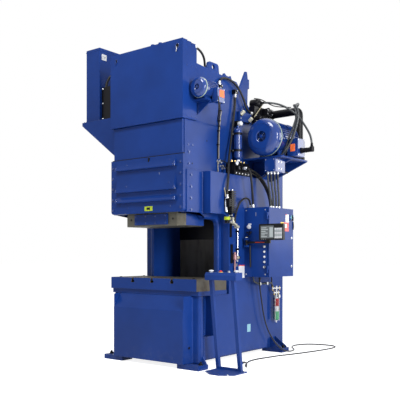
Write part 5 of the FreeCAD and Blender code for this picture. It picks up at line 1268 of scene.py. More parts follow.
@dataclass
class Motor:
    """A totally enclosed fan-cooled motor: finned barrel, end shields, domed cowl and terminal box."""

    name: str
    x: float
    z: float
    front: float
    seat: float
    end: float
    shield: float
    body: float
    fin: float
    fins: int
    mouth: float
    bulge: tuple

    def cowl(self) -> None:
        """The domed cowl with its inlet grille, black fins painted as the shade in its slots, a pale ring
        painted as the rim's highlight, and the fan behind it.
        """
        shape = Shape(self.name + "_cowl_dressed")
        rim, wall = self.shield, self.shield - 5
        last = self.seat - self.front
        inner = [(last, wall), (self.bulge[-1][0] + 2, wall)]
        inner += [(place + 5, max(radius - 5, self.mouth)) for place, radius in reversed(self.bulge)]
        centre = (self.x, self.front, self.z)
        shape.lathe(Along.Y, centre, list(self.bulge) + [(last, rim)] + inner, GLOSS, 72, True)
        shape.hoop(Along.Y, (self.x, self.front + self.bulge[0][0] + 2, self.z), self.mouth + 1, 3, GLOSS, 48)
        rings = max(2, round(self.mouth / 14))
        for step in range(1, rings):
            shape.hoop(Along.Y, (self.x, self.front + 5, self.z), self.mouth * step / rings, 1.7, GLOSS, 36)
        shape.fins(Along.Y, (self.x, self.front + 7, self.z), GLOSS, count=6, radius=self.mouth / 2 + 2,
                   deep=self.mouth - 2, thick=4, long=3)
        shape.lathe(Along.Y, centre, [(3, self.mouth * 0.26), (8, self.mouth * 0.3)], GLOSS, 24)
        ring = 0.68 * rim
        # painted shade: black fins stand for the slots round the dome
        shape.fins(Along.Y, (self.x, self.front + self.bulge[2][0] + 1.4, self.z), NIGHT, count=28,
                   radius=ring, deep=0.045 * rim, thick=2.2, long=3)
        # painted highlight: a pale ring round the back of the dome
        shape.lathe(Along.Y, (self.x, self.seat - 18, self.z),
                    [(0, rim - 1), (0, rim + 1.8), (15, rim + 1.8), (15, rim - 1)], RIM_HIGHLIGHT, 72, True)
        shape.screw(about((self.x, self.seat - 22, self.z), rim, 1, Along.Y, 0.7), (0.77, 0, 0.64), 6, 5,
                    ZINC)
        shape.done("frame", self.name + "_cowl")
        worked(self.name + "_rotor", MOULDED, 0.6, self.name + "_fan")

    def barrel(self) -> Shape:
        """The finned barrel between its end shields, with the shield bolts.

        Returns:
            The piece, to which the boxes and feet are added.
        """
        shape = Shape(self.name + "_dressed")
        long = self.end - self.seat
        inner, outer = self.body, self.shield
        profile = [(0, 0), (0, outer - 8), (3, outer - 2), (12, outer - 2), (16, outer - 6), (16, inner),
                   (long - 16, inner), (long - 16, self.fin + 2), (long - 12, self.fin + 6),
                   (long - 3, self.fin + 4), (long, self.fin - 4), (long, 0)]
        shape.lathe(Along.Y, (self.x, self.seat, self.z), profile, GLOSS, 72)
        deep = self.fin - inner + 6
        shape.fins(Along.Y, (self.x, (self.seat + self.end) / 2, self.z), GLOSS, count=self.fins,
                   radius=inner + deep / 2 - 6, deep=deep, thick=max(2.5, inner / 52), long=long - 30)
        bolts = about((self.x, self.end, self.z), self.fin - 14, 6, Along.Y, 0.5)
        shape.screw(bolts, BACK, inner / 20, inner / 24, NIGHT)
        return shape

    def box(self, shape: Shape, low: Point, high: Point, lid: float, field_low: Point,
            field_high: Point) -> None:
        """Add the terminal box with its lid, lid screws and orange field.

        Args:
            shape: the motor.
            low: the box's lowest corner.
            high: the box's highest corner.
            lid: how thick the lid is, at the box's outer end.
            field_low: the field's lowest corner.
            field_high: the field's highest corner.
        """
        shape.block(low, (high[0] - lid - 1, high[1], high[2]), GLOSS, 4.0)
        shape.block((high[0] - lid - 1, low[1] + 2, low[2] + 2), (high[0] - lid, high[1] - 2, high[2] - 2),
                    MOULDED)
        shape.block((high[0] - lid, low[1], low[2]), high, GLOSS, 4.0)
        places = corners_of((low[1], low[2]), (high[1], high[2]), 12)
        shape.screw([(high[0], y, z) for y, z in places], RIGHT, 5.5, 3.5, ZINC, 12)
        shape.block(field_low, field_high, ORANGE, 0.6)

    def eye(self, shape: Shape, radius: float) -> None:
        """Add the lifting eye on top of the barrel."""
        top = (self.x, (self.seat + self.end) / 2, self.z + self.body)
        shape.lathe(Along.Z, top, [(-6, radius), (4, radius), (8, radius * 0.6)], NIGHT, 20)
        shape.hoop(Along.Y, (top[0], top[1], top[2] + radius * 1.05), radius * 0.8, radius * 0.28, NIGHT, 20)


@dataclass
class Drives:
    """The main motor with its pump on the shelf, and the pilot motor on its bracket."""

    main: Motor = field(default_factory=lambda: Motor(
        "motor", 860, 2620, 1020, 1140, 1540, 220, 188, 206, 44, 62,
        ((6, 62), (2, 67), (1.5, 72), (2.5, 112), (6, 150), (14, 180), (27, 202), (45, 214), (66, 220))))
    pilot: Motor = field(default_factory=lambda: Motor(
        "pilot", 670, 3040, 60, 120, 330, 107, 92, 98, 30, 30,
        ((4, 30), (1.5, 33), (1, 36), (2, 58), (5, 76), (11, 91), (20, 101), (32, 106), (42, 107))))

    def main_motor(self) -> None:
        """The main motor with its feet, terminal box, elbow and eye."""
        motor = self.main
        motor.cowl()
        shape = motor.barrel()
        motor.box(shape, (1030, 1330, 2402), (1175, 1500, 2610), 22, (1074, 1326.5, 2459),
                  (1136, 1330.5, 2546))
        motor.eye(shape, 19)
        shape.lathe(Along.X, (1175, 1410, 2470), [(0, 34), (10, 36), (12, 28), (128, 28), (132, 26)], NIGHT,
                    28)
        shape.hoop(Along.X, (1240, 1410, 2470), 28, 3, NIGHT, 28)
        shape.lathe(Along.Z, (1315, 1410, 2442), [(0, 0), (2, 22), (8, 28), (60, 28), (63, 24)], NIGHT, 28)
        for low in (710, 950):
            shape.block((low, 1200, 2396), (low + 60, 1480, 2412), GLOSS, 3.0)
            shape.block((low + 18, 1204, 2404), (low + 42, 1476, 2476), GLOSS, 3.0)
            shape.screw([(low + 30 + side, y, 2412) for y in (1225, 1455) for side in (-20, 20)], UP,
                        8, 8, NIGHT)
        shape.block((840, 1230, 2806), (880, 1300, 2829), GLOSS, 2.0)
        shape.done("frame", "main_motor")

    def pilot_motor(self) -> None:
        """The pilot motor with its terminal box and small pump, and the worked bracket."""
        motor = self.pilot
        motor.cowl()
        shape = motor.barrel()
        motor.box(shape, (742, 240, 2892), (815, 370, 3049), 16, (813.5, 278, 2950), (816.5, 364, 3028))
        motor.eye(shape, 10)
        centre = (670, 330, 3040)
        shape.lathe(Along.Y, centre, [(0, 66), (12, 66), (14, 46), (50, 46), (54, 50), (96, 50), (100, 44),
                                      (116, 44), (120, 38)], CAST, 40)
        shape.screw(about((670, 342, 3040), 57, 4, Along.Y, DIAGONAL), BACK, 5, 5, ZINC)
        shape.screw([(670 + 30 * s, 450, 3040 + 14 * t) for s in (-1, 1) for t in (-1, 1)], BACK, 4, 4, ZINC)
        for x in (-36, 24):
            shape.block((670 + x, 150, 2929), (670 + x + 14, 310, 2960), GLOSS, 2.0)
        shape.block((618, 150, 2928), (722, 310, 2937), GLOSS, 2.0)
        shape.screw([(x, y, 2937) for x in (626, 714) for y in (165, 295)], UP, 5, 5, NIGHT)
        shape.done("frame", "pilot_motor")
        shape = Shape("pilot_bracket_worked").cad("pilot_bracket", BLUE, 2.0)
        shape.bead([(556, 232, 2786), (556, 232, 2910)], 4, BLUE)
        shape.done("frame", "pilot_bracket")

    def pump(self) -> None:
        """The pump behind the main motor: bell housing with windows and bolts, body, ports and lines."""
        shape = Shape("main_pump_dressed")
        centre = (860, 1540, 2620)
        shape.lathe(Along.Y, centre, [(0, 120), (20, 120), (23, 84), (140, 80), (144, 95), (160, 95)], GLOSS,
                    56)
        shape.fins(Along.Y, (860, 1622, 2620), GLOSS, count=6, radius=92, deep=26, thick=9, long=118)
        shape.fins(Along.Y, (860, 1620, 2620), NIGHT, count=6, radius=83, deep=3, thick=38, long=70)
        shape.screw(about((860, 1560, 2620), 106, 8, Along.Y, 0.2), BACK, 8, 8, NIGHT)
        shape.screw(about((860, 1700, 2620), 86, 4, Along.Y, DIAGONAL), BACK, 7, 8, ZINC)
        shape.lathe(Along.Y, (860, 1700, 2620), [(0, 72), (14, 76), (56, 76), (60, 68), (64, 68), (68, 76),
                                                 (132, 76), (146, 66), (152, 40), (180, 36)], CAST, 48)
        shape.fins(Along.Y, (860, 1798, 2620), CAST, count=14, radius=74, deep=8, thick=4, long=54)
        shape.lathe(Along.X, (784, 1790, 2620), [(8, 34), (-14, 34), (-16, 26), (-34, 26)], CAST, 28)
        shape.pipe([(752, 1790, 2620), (700, 1790, 2620), (620, 1790, 2620), (534, 1790, 2620)], 21, CAST)
        shape.lathe(Along.X, (530, 1790, 2620), [(0, 44), (14, 44), (16, 30)], CAST, 28)
        shape.screw(about((544, 1790, 2620), 36, 4, Along.X, DIAGONAL), RIGHT, 6, 6, NIGHT)
        shape.done("frame", "main_pump")

    def shelf(self) -> None:
        """The motor's shelf with its gussets and beads, and the junction box under it."""
        shape = Shape("motor_frame_worked").cad("motor_frame", BLUE, 3.0)
        shape.bead([(534, 1345, 2368), (1060, 1345, 2372)], 5, BLUE)
        shape.bead([(534, 1122, 2397), (534, 1715, 2397)], 5, BLUE)
        shape.done("frame", "motor_frame")
        shape = Shape("motor_junction_box_dressed")
        shape.block((850, 1113, 2212), (1000, 1330, 2374), GLOSS, 3.0)
        shape.block((856, 1109.5, 2218), (994, 1114, 2366), GLOSS, 2.0)
        shape.block((1000, 1126, 2222), (1003, 1318, 2364), GLOSS, 1.0)
        shape.screw([(x, 1110, z) for x in (868, 982) for z in (2230, 2354)], FRONT, 5, 4, ZINC, 12)
        shape.screw([(1003, y, z) for y in (1180, 1240) for z in (2250, 2330)], RIGHT, 9, 6, ZINC, 12)
        shape.lathe(Along.Y, (980, 1328, 2225), [(0, 14), (12, 14), (14, 8), (70, 7), (72, 12), (88, 13),
                                                 (92, 9)], NIGHT, 20)
        for x, y in ((862, 1170), (890, 1198), (918, 1226), (946, 1254)):
            shape.lathe(Along.Z, (x, y, 2212), [(0, 17), (-8, 17), (-10, 14), (-20, 13)], ZINC, 12)
        shape.done("frame", "motor_junction_box")

    def build(self) -> None:
        """Build the two drives."""
        self.main_motor()
        self.pilot_motor()
        self.pump()
        self.shelf()


# ------------------------------------------------------------------------------ hydraulics

@dataclass
class Valves:
    """The valve blocks, the accumulator and the fittings on the press's right side."""

    side: float = 530.0
    pad: float = 642.0

    def solenoid(self, shape: Shape, place: Point, radius: float, long: float) -> None:
        """Add a solenoid that stands out to the right: coil, nut and connector.

        Args:
            shape: the valve block.
            place: where it starts.
            radius: the coil's radius.
            long: how far it stands out.
        """
        body = 0.76 * long
        shape.lathe(Along.X, place, [(-4, radius), (body - 3, radius), (body, radius - 3), (body, 12),
                                     (long - 5, 12), (long, 8)], NIGHT, 28)
        shape.bar(Along.X, place, body, body + 7, 15, ZINC, HEXAGON)
        x, y, z = place
        shape.block((x + 10, y - 13, z + radius - 4), (x + body - 8, y + 13, z + radius + 20), MOULDED, 3.0)

    def top(self) -> None:
        """The valve block on the crown's side with coils, dome, tips and the bent return pipe."""
        shape = Shape("top_valves_dressed")
        x = self.side
        shape.block((x, 1262, 2850), (x + 80, 1700, 3058), NIGHT, 4.0)
        shape.block((x + 80, 1275, 2862), (x + 92, 1590, 2950), CAST, 3.0)
        shape.block((x + 80, 1440, 2965), (x + 150, 1570, 3046), NIGHT, 5.0)
        shape.screw([(x + 92, y, z) for y in (1288, 1575) for z in (2872, 2940)], RIGHT, 8, 7, ZINC)
        shape.screw([(x + 150, y, z) for y in (1456, 1554) for z in (2980, 3030)], RIGHT, 6, 6, ZINC)
        for step in range(3):
            self.solenoid(shape, (x + 84, 1295 + 80 * step, 2900), 22, 86)
        shape.lathe(Along.X, (x, 1370, 3100), [(-28, 60), (66, 60), (72, 57), (74, 50), (80, 50), (86, 46),
                                               (100, 36), (108, 22), (110, 0)], NIGHT, 48)
        shape.screw(about((x + 70, 1370, 3100), 53, 6, Along.X), RIGHT, 6, 6, NIGHT)
        shape.lathe(Along.Z, (x + 40, 1640, 3052), [(0, 30), (12, 30), (16, 20), (44, 20), (48, 0)], CAST,
                    HEXAGON)
        shape.pipe([(x + 60, 1640, 3000), (x + 180, 1640, 3000), (870, 1640, 3000), (985, 1640, 3000),
                    (1012, 1640, 2973), (1012, 1640, 2860), (1012, 1640, 2600), (1012, 1640, 2400)], 49,
                   NIGHT, 16)
        shape.lathe(Along.X, (x + 80, 1640, 3000), [(0, 68), (16, 68), (18, 52)], NIGHT, 40)
        shape.screw(about((x + 96, 1640, 3000), 60, 6, Along.X), RIGHT, 7, 7, ZINC)
        for z in (2395, 2411):
            shape.lathe(Along.Z, (1012, 1640, z), [(0, 70), (14, 70), (16, 66)], NIGHT, 40)
        shape.screw(about((1012, 1640, 2427), 60, 8, Along.Z), UP, 7, 7, ZINC)
        shape.block((x, 940, 2758), (x + 46, 1004, 2826), NIGHT, 3.0)
        shape.lathe(Along.X, (x + 44, 972, 2792), [(0, 20), (10, 20), (12, 27), (44, 27), (52, 20), (54, 0)],
                    WHITE, 28)
        tip = Vector((0.75, 0.05, 0.62)).normalized()
        for y, z in ((1030, 2912), (1200, 2856)):
            shape.lathe(tip, (x + 40, y, z), [(-30, 22), (4, 22), (6, 16)], NIGHT, 24)
            shape.lathe(tip, (x + 40, y, z), [(6, 20), (8, 23), (56, 23), (62, 17)], CREAM, 24)
        shape.block((x, 1000, 2836), (x + 46, 1250, 2950), BLUE, 4.0)
        shape.screw([(x + 46, y, z) for y in (1024, 1226) for z in (2866, 2944)], RIGHT, 6, 6, ZINC)
        shape.done("frame", "top_valves")

    def manifold(self) -> None:
        """The manifold with its four coils, brass plugs, gauge and two fittings by the crown."""
        shape = Shape("valve_manifold_dressed")
        x = self.side
        shape.block((x, 780, 2171), (x + 124, 1080, 2320), NIGHT, 4.0)
        for step in range(4):
            self.solenoid(shape, (x + 126, 825 + 70 * step, 2245), 22, 54)
        for step in range(5):
            y = 800 + 62 * step
            shape.lathe(Along.Z, (x + 70, y, 2318), [(0, 15), (9, 15), (11, 10), (26, 10)], BRASS, HEXAGON)
            shape.lathe(Along.X, (x + 124, y + 12, 2192), [(-2, 11), (7, 11), (9, 0)], ZINC, HEXAGON)
        shape.lathe(Along.X, (x + 116, 805, 2300), [(0, 12), (16, 12), (16, 26), (32, 28), (34, 26)], ZINC,
                    28)
        shape.bar(Along.X, (x + 150, 805, 2300), 0, 0.8, 23, WHITE, 28)
        for y, z in ((612, 2316), (640, 2300), (668, 2262), (700, 2240)):
            shape.lathe(Along.X, (x, y, z), [(-2, 15), (12, 15), (14, 9), (30, 9), (32, 13), (46, 13)], ZINC,
                        HEXAGON)
        shape.pipe([(x + 34, 612, 2316), (x + 60, 640, 2318), (x + 66, 700, 2300), (x + 60, 782, 2280)], 7,
                   CAST)
        shape.pipe([(x + 34, 668, 2262), (x + 54, 700, 2252), (x + 58, 730, 2236), (x + 60, 782, 2236)], 7,
                   CAST)
        for y in (598, 900):
            shape.block((x, y, 3140), (x + 52, y + 54, 3189), NIGHT, 3.0)
            shape.screw([(x + 52, y + 12, 3150), (x + 52, y + 42, 3178)], RIGHT, 6, 5, ZINC)
        shape.done("frame", "valve_manifold")

    def stack(self) -> None:
        """The black ribbed silencer stack with its port, the tube, the lime lamp and the fittings."""
        shape = Shape("valve_stack_dressed")
        low, high, left, right = 1711, 1970, self.pad, 731
        shape.block((left, 636, low), (right - 12, 694, high), MOULDED, 6.0)
        shape.rows(Along.Z, ((left + right) / 2, 665, low + 12), MOULDED, count=12, pitch=21.4,
                   wide=right - left, deep=88, thick=10)
        shape.block((left, 592, 1780), (left + 78, 640, 1878), MOULDED, 5.0)
        for x in (left + 18, right - 24):
            shape.lathe(Along.Z, (x, 665, high), [(-6, 11), (0, 11), (3, 8), (10, 8)], ZINC, HEXAGON)
        shape.pipe([(left + 22, 606, 1880), (left + 22, 604, 1860), (left + 22, 602, 1800),
                    (left + 22, 606, 1742)], 13, WHITE)
        shape.lathe(Along.Z, (left + 22, 606, 1728), [(0, 17), (16, 17), (18, 13)], ZINC, HEXAGON)
        shape.block((left + 2, 590, 1634), (left + 50, 642, 1672), LIME, 5.0)
        shape.block((left + 4, 600, 1600), (left + 40, 650, 1632), MOULDED, 4.0)
        shape.block((left + 4, 690, 1674), (left + 40, 712, 1712), MOULDED, 4.0)
        for y, z, radius in ((668, 1618, 12), (680, 1690, 11), (709, 1655, 18), (719, 1612, 20),
                             (770, 1586, 16), (812, 1562, 18)):
            shape.lathe(Along.X, (left, y, z),
                        [(-3, radius), (16, radius), (18, radius * 0.7), (34, radius * 0.7), (38, radius),
                         (52, radius * 0.9), (54, 0)], CREAM if radius > 15 else ZINC, HEXAGON)
        shape.pipe([(left + 30, 709, 1655), (left + 44, 714, 1636), (left + 46, 719, 1612)], 10, CREAM)
        shape.pipe([(left + 30, 719, 1612), (left + 48, 770, 1590), (left + 34, 812, 1562)], 10, CREAM)
        shape.done("frame", "valve_stack")

    def rod(self) -> None:
        """The polished rod under the fittings, with its clamp, rose fitting, knob and guard strip."""
        shape = Shape("side_rod")
        left = self.pad
        shape.bar(Along.Z, (left + 22, 831, 1230), 0, 330, 8, CHROME, 20)
        for z in (1290, 1500):
            shape.block((left, 816, z), (left + 36, 846, z + 22), MOULDED, 4.0)
        shape.block((left, 716, 1140), (left + 16, 748, 1360), NIGHT, 3.0)
        shape.block((left, 700, 1600), (left + 20, 724, 1440), NIGHT, 3.0)
        shape.lathe(Along.Z, (left + 22, 777, 1176), [(0, 15), (8, 24), (62, 24), (72, 14), (92, 14)], PINK,
                    24)
        shape.bar(Along.Z, (left + 22, 774, 1046), 0, 132, 10, PINK, 16)
        shape.lathe(Along.Y, (left + 24, 800, 1206), [(0, 10), (14, 10), (16, 19), (38, 19), (42, 14)],
                    CREAM, 20)
        shape.lathe(Along.Y, (left + 24, 842, 1206), [(0, 16), (14, 18), (26, 12)], NIGHT, 20)
        shape.lathe(Along.X, (left, 838, 1168), [(-2, 14), (20, 14), (24, 8)], ZINC, HEXAGON)
        shape.block((left, 800, 1100), (left + 26, 826, 1140), ZINC, 3.0)
        shape.done()

    def accumulator(self) -> None:
        """The accumulator with domed ends, charging cap, base nut and two strap clamps."""
        shape = Shape("accumulator_dressed")
        place = (600, 926, 2336)
        dome = [(49 * math.cos(turn), 40 * math.sin(turn)) for turn in (0.0, 0.3, 0.6, 0.9, 1.15, 1.35)]
        low = [(60 - rise, radius) for radius, rise in reversed(dome)]
        high = [(358 + rise, radius) for radius, rise in dome]
        profile = [(0, 0), (0, 24), (20, 24)] + low[1:] + high + [(400, 18), (410, 18), (414, 14), (424, 14),
                                                                  (424, 0)]
        shape.lathe(Along.Z, place, profile, GLOSS, 48)
        shape.lathe(Along.Z, (600, 926, 2340), [(0, 30), (14, 30)], ZINC, HEXAGON)
        for z in (2450, 2646):
            shape.block((530, 880, z), (560, 972, z + 30), NIGHT, 3.0)
            shape.lathe(Along.Z, (600, 926, z), [(1, 48), (1, 52), (29, 52), (29, 48)], NIGHT, 48, True)
            shape.screw([(560, 886, z + 15), (560, 966, z + 15)], RIGHT, 7, 7, ZINC)
        shape.done("frame", "accumulator")

    def build(self) -> None:
        """Build the hydraulics."""
        self.top()
        self.manifold()
        self.stack()
        self.rod()
        self.accumulator()


@dataclass
class Lines:
    """Hoses with crimped couplings, corrugated conduits and thin cables."""

    hose: float = 13.0
    conduit: float = 12.0
    hoses: tuple = (
        ((528, 190, 3526), (528, 260, 3526), (500, 390, 3490), (440, 500, 3440), (440, 500, 3345)),
        ((555, 625, 3190), (555, 625, 3262), (566, 760, 3295), (574, 930, 3252), (579, 1075, 3120),
                 (580, 1150, 2962), (580, 1260, 2962)),
        ((560, 927, 3140), (560, 927, 3030), (567, 888, 2850), (573, 842, 2670), (584, 790, 2480),
                 (620, 712, 2290), (672, 640, 2110), (678, 605, 1960), (678, 605, 1880)),
        ((710, 895, 2245), (790, 895, 2245), (800, 915, 2110), (770, 985, 1930), (745, 1030, 1850),
                 (745, 1030, 1790)),
        ((620, 1080, 2270), (620, 1140, 2270), (690, 1250, 2205), (765, 1330, 2030),
                       (795, 1362, 1870), (795, 1362, 1790)),
        ((585, 1080, 2235), (585, 1145, 2235), (655, 1250, 2205), (725, 1345, 2050),
                      (755, 1395, 1880), (755, 1395, 1790)))
    motor: tuple = ((640, 1370, 3100), (720, 1370, 3100), (890, 1455, 3060), (1060, 1520, 2930),
                    (1215, 1470, 2740), (1315, 1410, 2600), (1315, 1410, 2505))
    bundle: int = 4
    pitch: float = 28.0

    def hydraulic(self) -> None:
        """The rubber hoses between the valves, the crown and the cabinet."""
        shape = Shape("hydraulic_hoses")
        for route in self.hoses:
            shape.pipe(route, self.hose, RUBBER, 14)
            shape.coupling(route[0], route[1], self.hose)
            shape.coupling(route[-1], route[-2], self.hose)
        shape.done("frame", "hoses")

    def conduits(self) -> None:
        """The corrugated conduits: one to the motor's elbow and the bundle into the cabinet."""
        shape = Shape("corrugated_conduits")
        shape.conduit(self.motor, self.conduit, JACKET)
        for place, towards in ((self.motor[0], self.motor[1]), (self.motor[-1], self.motor[-2])):
            shape.coupling(place, towards, self.conduit, NIGHT)
        for step in range(self.bundle):
            shift = self.pitch * step
            lower = 0.8 * shift
            route = [(862 + shift, 1170 + shift, 2210), (862 + shift, 1170 + shift, 2110),
                     (855 + lower, 1240 + shift, 1920), (855 + lower, 1240 + shift, 1790)]
            shape.conduit(route, self.conduit, JACKET)
            shape.lathe(Along.Z, route[-1], [(0, 18), (10, 18), (12, 15), (26, 14)], ZINC, 12)
        shape.lathe(Along.Z, (735, 1362, 1790), [(0, 21), (12, 21), (14, 15)], ZINC, HEXAGON)
        shape.done()

    def cables(self) -> None:
        """The thin cables on the side plate, the pale wire by the return pipe and the low conduit."""
        shape = Shape("thin_cables")
        run = [(538, 655, 2985), (540, 660, 2900), (540, 638, 2780), (540, 621, 2660), (541, 612, 2500),
               (541, 611, 2340)]
        shape.pipe(run, 6, RUBBER)
        shape.pipe([(x + 11, y + 6, z) for x, y, z in run[1:]], 4, BEIGE)
        for x, y, z in run[1:-1]:
            shape.block((530, y - 14, z - 6), (x + 16, y + 18, z + 6), MOULDED, 2.0)
        shape.pipe([(545, 608, 2320), (548, 607, 2200), (548, 606, 2080), (660, 596, 2000),
                    (664, 592, 1900)], 5, BEIGE)
        shape.pipe([(815, 250, 2952), (822, 256, 2890), (790, 300, 2800), (640, 470, 2740), (545, 640, 2720),
                    (540, 660, 2700)], 7, RUBBER)
        shape.pipe([(620, 1475, 3140), (622, 1420, 3090), (625, 1330, 3000), (622, 1240, 2910)], 5, BEIGE)
        shape.pipe([(590, 1290, 3150), (596, 1420, 3170), (640, 1530, 3120), (720, 1600, 3080),
                    (900, 1640, 3060)], 6, RUBBER)
        shape.pipe([(780, 1330, 2240), (790, 1290, 2236), (800, 1240, 2205), (790, 1180, 2160),
                    (760, 1130, 2150)], 6, RUBBER)
        shape.pipe([(700, 1047, 1792), (700, 1042, 1850), (698, 1000, 1905), (690, 922, 1900),
                    (682, 850, 1850), (672, 806, 1760), (668, 776, 1680), (668, 770, 1604)], 11, RUBBER)
        shape.lathe(Along.Z, (700, 1047, 1790), [(0, 20), (10, 20), (12, 16), (34, 15)], WHITE, 24)
        shape.pipe([(735, 985, 1345), (738, 978, 1280), (736, 984, 1180), (734, 992, 1095)], 10, RUBBER)
        for route in (((1160, 1300, 2990), (1216, 1290, 2930), (1192, 1285, 2760), (1140, 1275, 2600),
                       (1068, 1270, 2500), (990, 1262, 2414)),
                      ((1120, 1330, 3000), (1180, 1306, 2900), (1160, 1296, 2740), (1110, 1300, 2600),
                       (1040, 1330, 2500), (975, 1340, 2414)),
                      ((1040, 1560, 2930), (1110, 1420, 2900), (1130, 1330, 2790), (1090, 1300, 2650),
                       (1020, 1310, 2520), (950, 1330, 2414))):
            shape.pipe(route, 11, JACKET)
        shape.pipe([(975, 1640, 3040), (1060, 1560, 3060), (1120, 1420, 3040), (1160, 1300, 2990)], 11,
                   JACKET)
        shape.pipe([(960, 1640, 3046), (1030, 1520, 3060), (1120, 1330, 3000)], 11, JACKET)
        shape.done()
        shape = Shape("low_conduit")
        shape.conduit([(700, 1100, 982), (700, 1104, 930), (690, 1180, 900), (676, 1279, 888),
                       (664, 1440, 884), (645, 1573, 888), (610, 1650, 876), (598, 1700, 850),
                       (597, 1722, 800)], 9, JACKET, 0.1, 7.0)
        for y in (1279, 1440):
            shape.block((530, y - 9, 874), (680, y + 9, 880), ZINC, 1.0)
            shape.block((655, y - 14, 868), (690, y + 14, 902), ZINC, 3.0)
        shape.done()

    def build(self) -> None:
        """Build the lines."""
        self.hydraulic()
        self.conduits()
        self.cables()


# ------------------------------------------------------------------------------ controls

@dataclass
class Cabinet:
    """The control cabinet with its door, switch handle, push buttons and selector."""

    front: float = 1000.0
    face: float = 982.5
    column: float = 925.0
    top: float = 1333.0
    pitch: float = 59.0
    buttons: int = 4
    turner: float = 1097.0

    def shell(self) -> None:
        """The cabinet's shell with bezels, connector, rain edge and brackets."""
        shape = Shape("control_cabinet_worked").cad("control_cabinet", BLUE, 2.0)
        y = self.front
        for step in range(self.buttons):
            shape.hoop(Along.Y, (self.column, y - 5.5, self.top - self.pitch * step), 14.4, 1.9, ZINC, 32)
        shape.hoop(Along.Y, (self.column, y - 5.5, self.turner), 14.4, 1.9, ZINC, 32)
        shape.lathe(Along.Y, (712, y, 1566), [(1, 26), (-7, 26), (-9, 19), (-26, 19), (-28, 15)], WHITE, 24)
        shape.block((700, y - 8, 1588), (742, y + 1, 1606), WHITE, 2.0)
        shape.block((802, y - 1.2, 1690), (808, y + 1, 1735), GREY, 0.4)
        for x, z in ((688, 1500), (716, 1478), (690, 1452), (722, 1506)):
            shape.lathe(Along.Y, (x, y, z), [(1, 11), (-12, 11), (-15, 8)], NIGHT, 20)
        shape.pipe([(716, y - 10, 1478), (724, y - 26, 1470), (744, y - 20, 1484), (746, y - 4, 1512)], 5,
                   MOULDED)
        shape.block((642, y + 2, 1790), (960, 1548, 1793), BLUE, 1.0)
        for x in (668, 934):
            shape.screw([(x, y, 1010), (x, y, 1760)], FRONT, 6, 4, ZINC, 12)
        for z in (1060, 1700):
            shape.block((640, 1060, z), (648, 1490, z + 40), BLUE, 2.0)
        shape.block((655, 1555, 1000), (946, 1558, 1770), BLUE, 1.2)
        shape.screw([(x, 1558, z) for x in (668, 933) for z in (1020, 1385, 1750)], BACK, 6, 5, ZINC, 12)
        shape.done("frame", "control_cabinet")

    def door(self) -> None:
        """The door with its lock inserts, hasp and blank plates, and the switch handle."""
        shape = Shape("cabinet_door_worked").cad("cabinet_door", BLUE, 2.0)
        x = self.face
        shape.block((x - 1, 1369, 1626), (x + 1.4, 1448, 1722), WHITE, 0.5)
        shape.block((x - 1, 1370, 1712), (x + 2.0, 1396, 1722), RED, 0.4)
        shape.block((x - 1, 1462, 1650), (x + 2.2, 1538, 1730), BLUE, 0.8)
        shape.block((x - 1, 1260, 1519), (x + 1.4, 1330, 1626), YELLOW, 0.5)
        shape.block((x - 1, 1331, 1519), (x + 1.4, 1443, 1626), RED, 0.5)
        shape.block((x - 1, 1350, 1560), (x + 1.9, 1400, 1606), WHITE, 0.3)
        shape.block((x - 1, 1540, 1540), (x + 8, 1545, 1640), NIGHT, 2.0)
        shape.pipe([(x + 4, 1543, 1640), (x + 6, 1548, 1600), (x + 6, 1546, 1560), (x + 2, 1543, 1541)], 6,
                   MOULDED)
        for z in (1100, 1440):
            shape.lathe(Along.X, (x, 1510, z), [(-2, 15), (3, 15), (4, 12)], ZINC, 28)
            shape.block((x + 3, 1507, z - 8), (x + 5, 1513, z + 8), NIGHT, 0.5)
        shape.done("door", "cabinet_door")
        shape = Shape("disconnect_handle_dressed")
        centre = (x, 1500, 1690)
        shape.lathe(Along.X, centre, [(-20, 6), (3, 6), (3, 24), (14, 24), (16.5, 22)], SKY, 40)
        shape.prism(Along.X, [(1491, 1648), (1509, 1648), (1511, 1690), (1507, 1719), (1493, 1719),
                              (1489, 1690)], x + 16, x + 33, MOULDED, 4.0)
        shape.block((x + 20, 1493, 1694), (x + 34, 1507, 1716), SKY, 2.0)
        shape.done("handle", "disconnect_handle")

    def caps(self) -> None:
        """The four push buttons and the selector."""
        for step in range(self.buttons):
            centre = (self.column, 985.2, self.top - self.pitch * step)
            shape = Shape(f"push_button_{step + 1}_dressed")
            shape.lathe(Along.Y, centre, [(0.8, 0), (0.2, 5), (0.5, 8), (2, 10), (4, 10.8), (32, 10.8)],
                        WHITE, 32)
            shape.done(f"button_{step + 1}", f"push_button_{step + 1}")
        shape = Shape("selector_switch_dressed")
        centre = (self.column, 986.2, self.turner)
        shape.lathe(Along.Y, centre, [(0, 9), (1.5, 10.8), (31, 10.8)], NIGHT, 32)
        x, _, z = centre
        shape.prism(Along.Y, [(x - 4, z - 10), (x + 4, z - 10), (x + 3, z + 10), (x - 3, z + 10)], 978.4,
                    988, WHITE, 1.2)
        shape.done("selector", "selector_switch")

    def build(self) -> None:
        """Build the cabinet."""
        self.shell()
        self.door()
        self.caps()


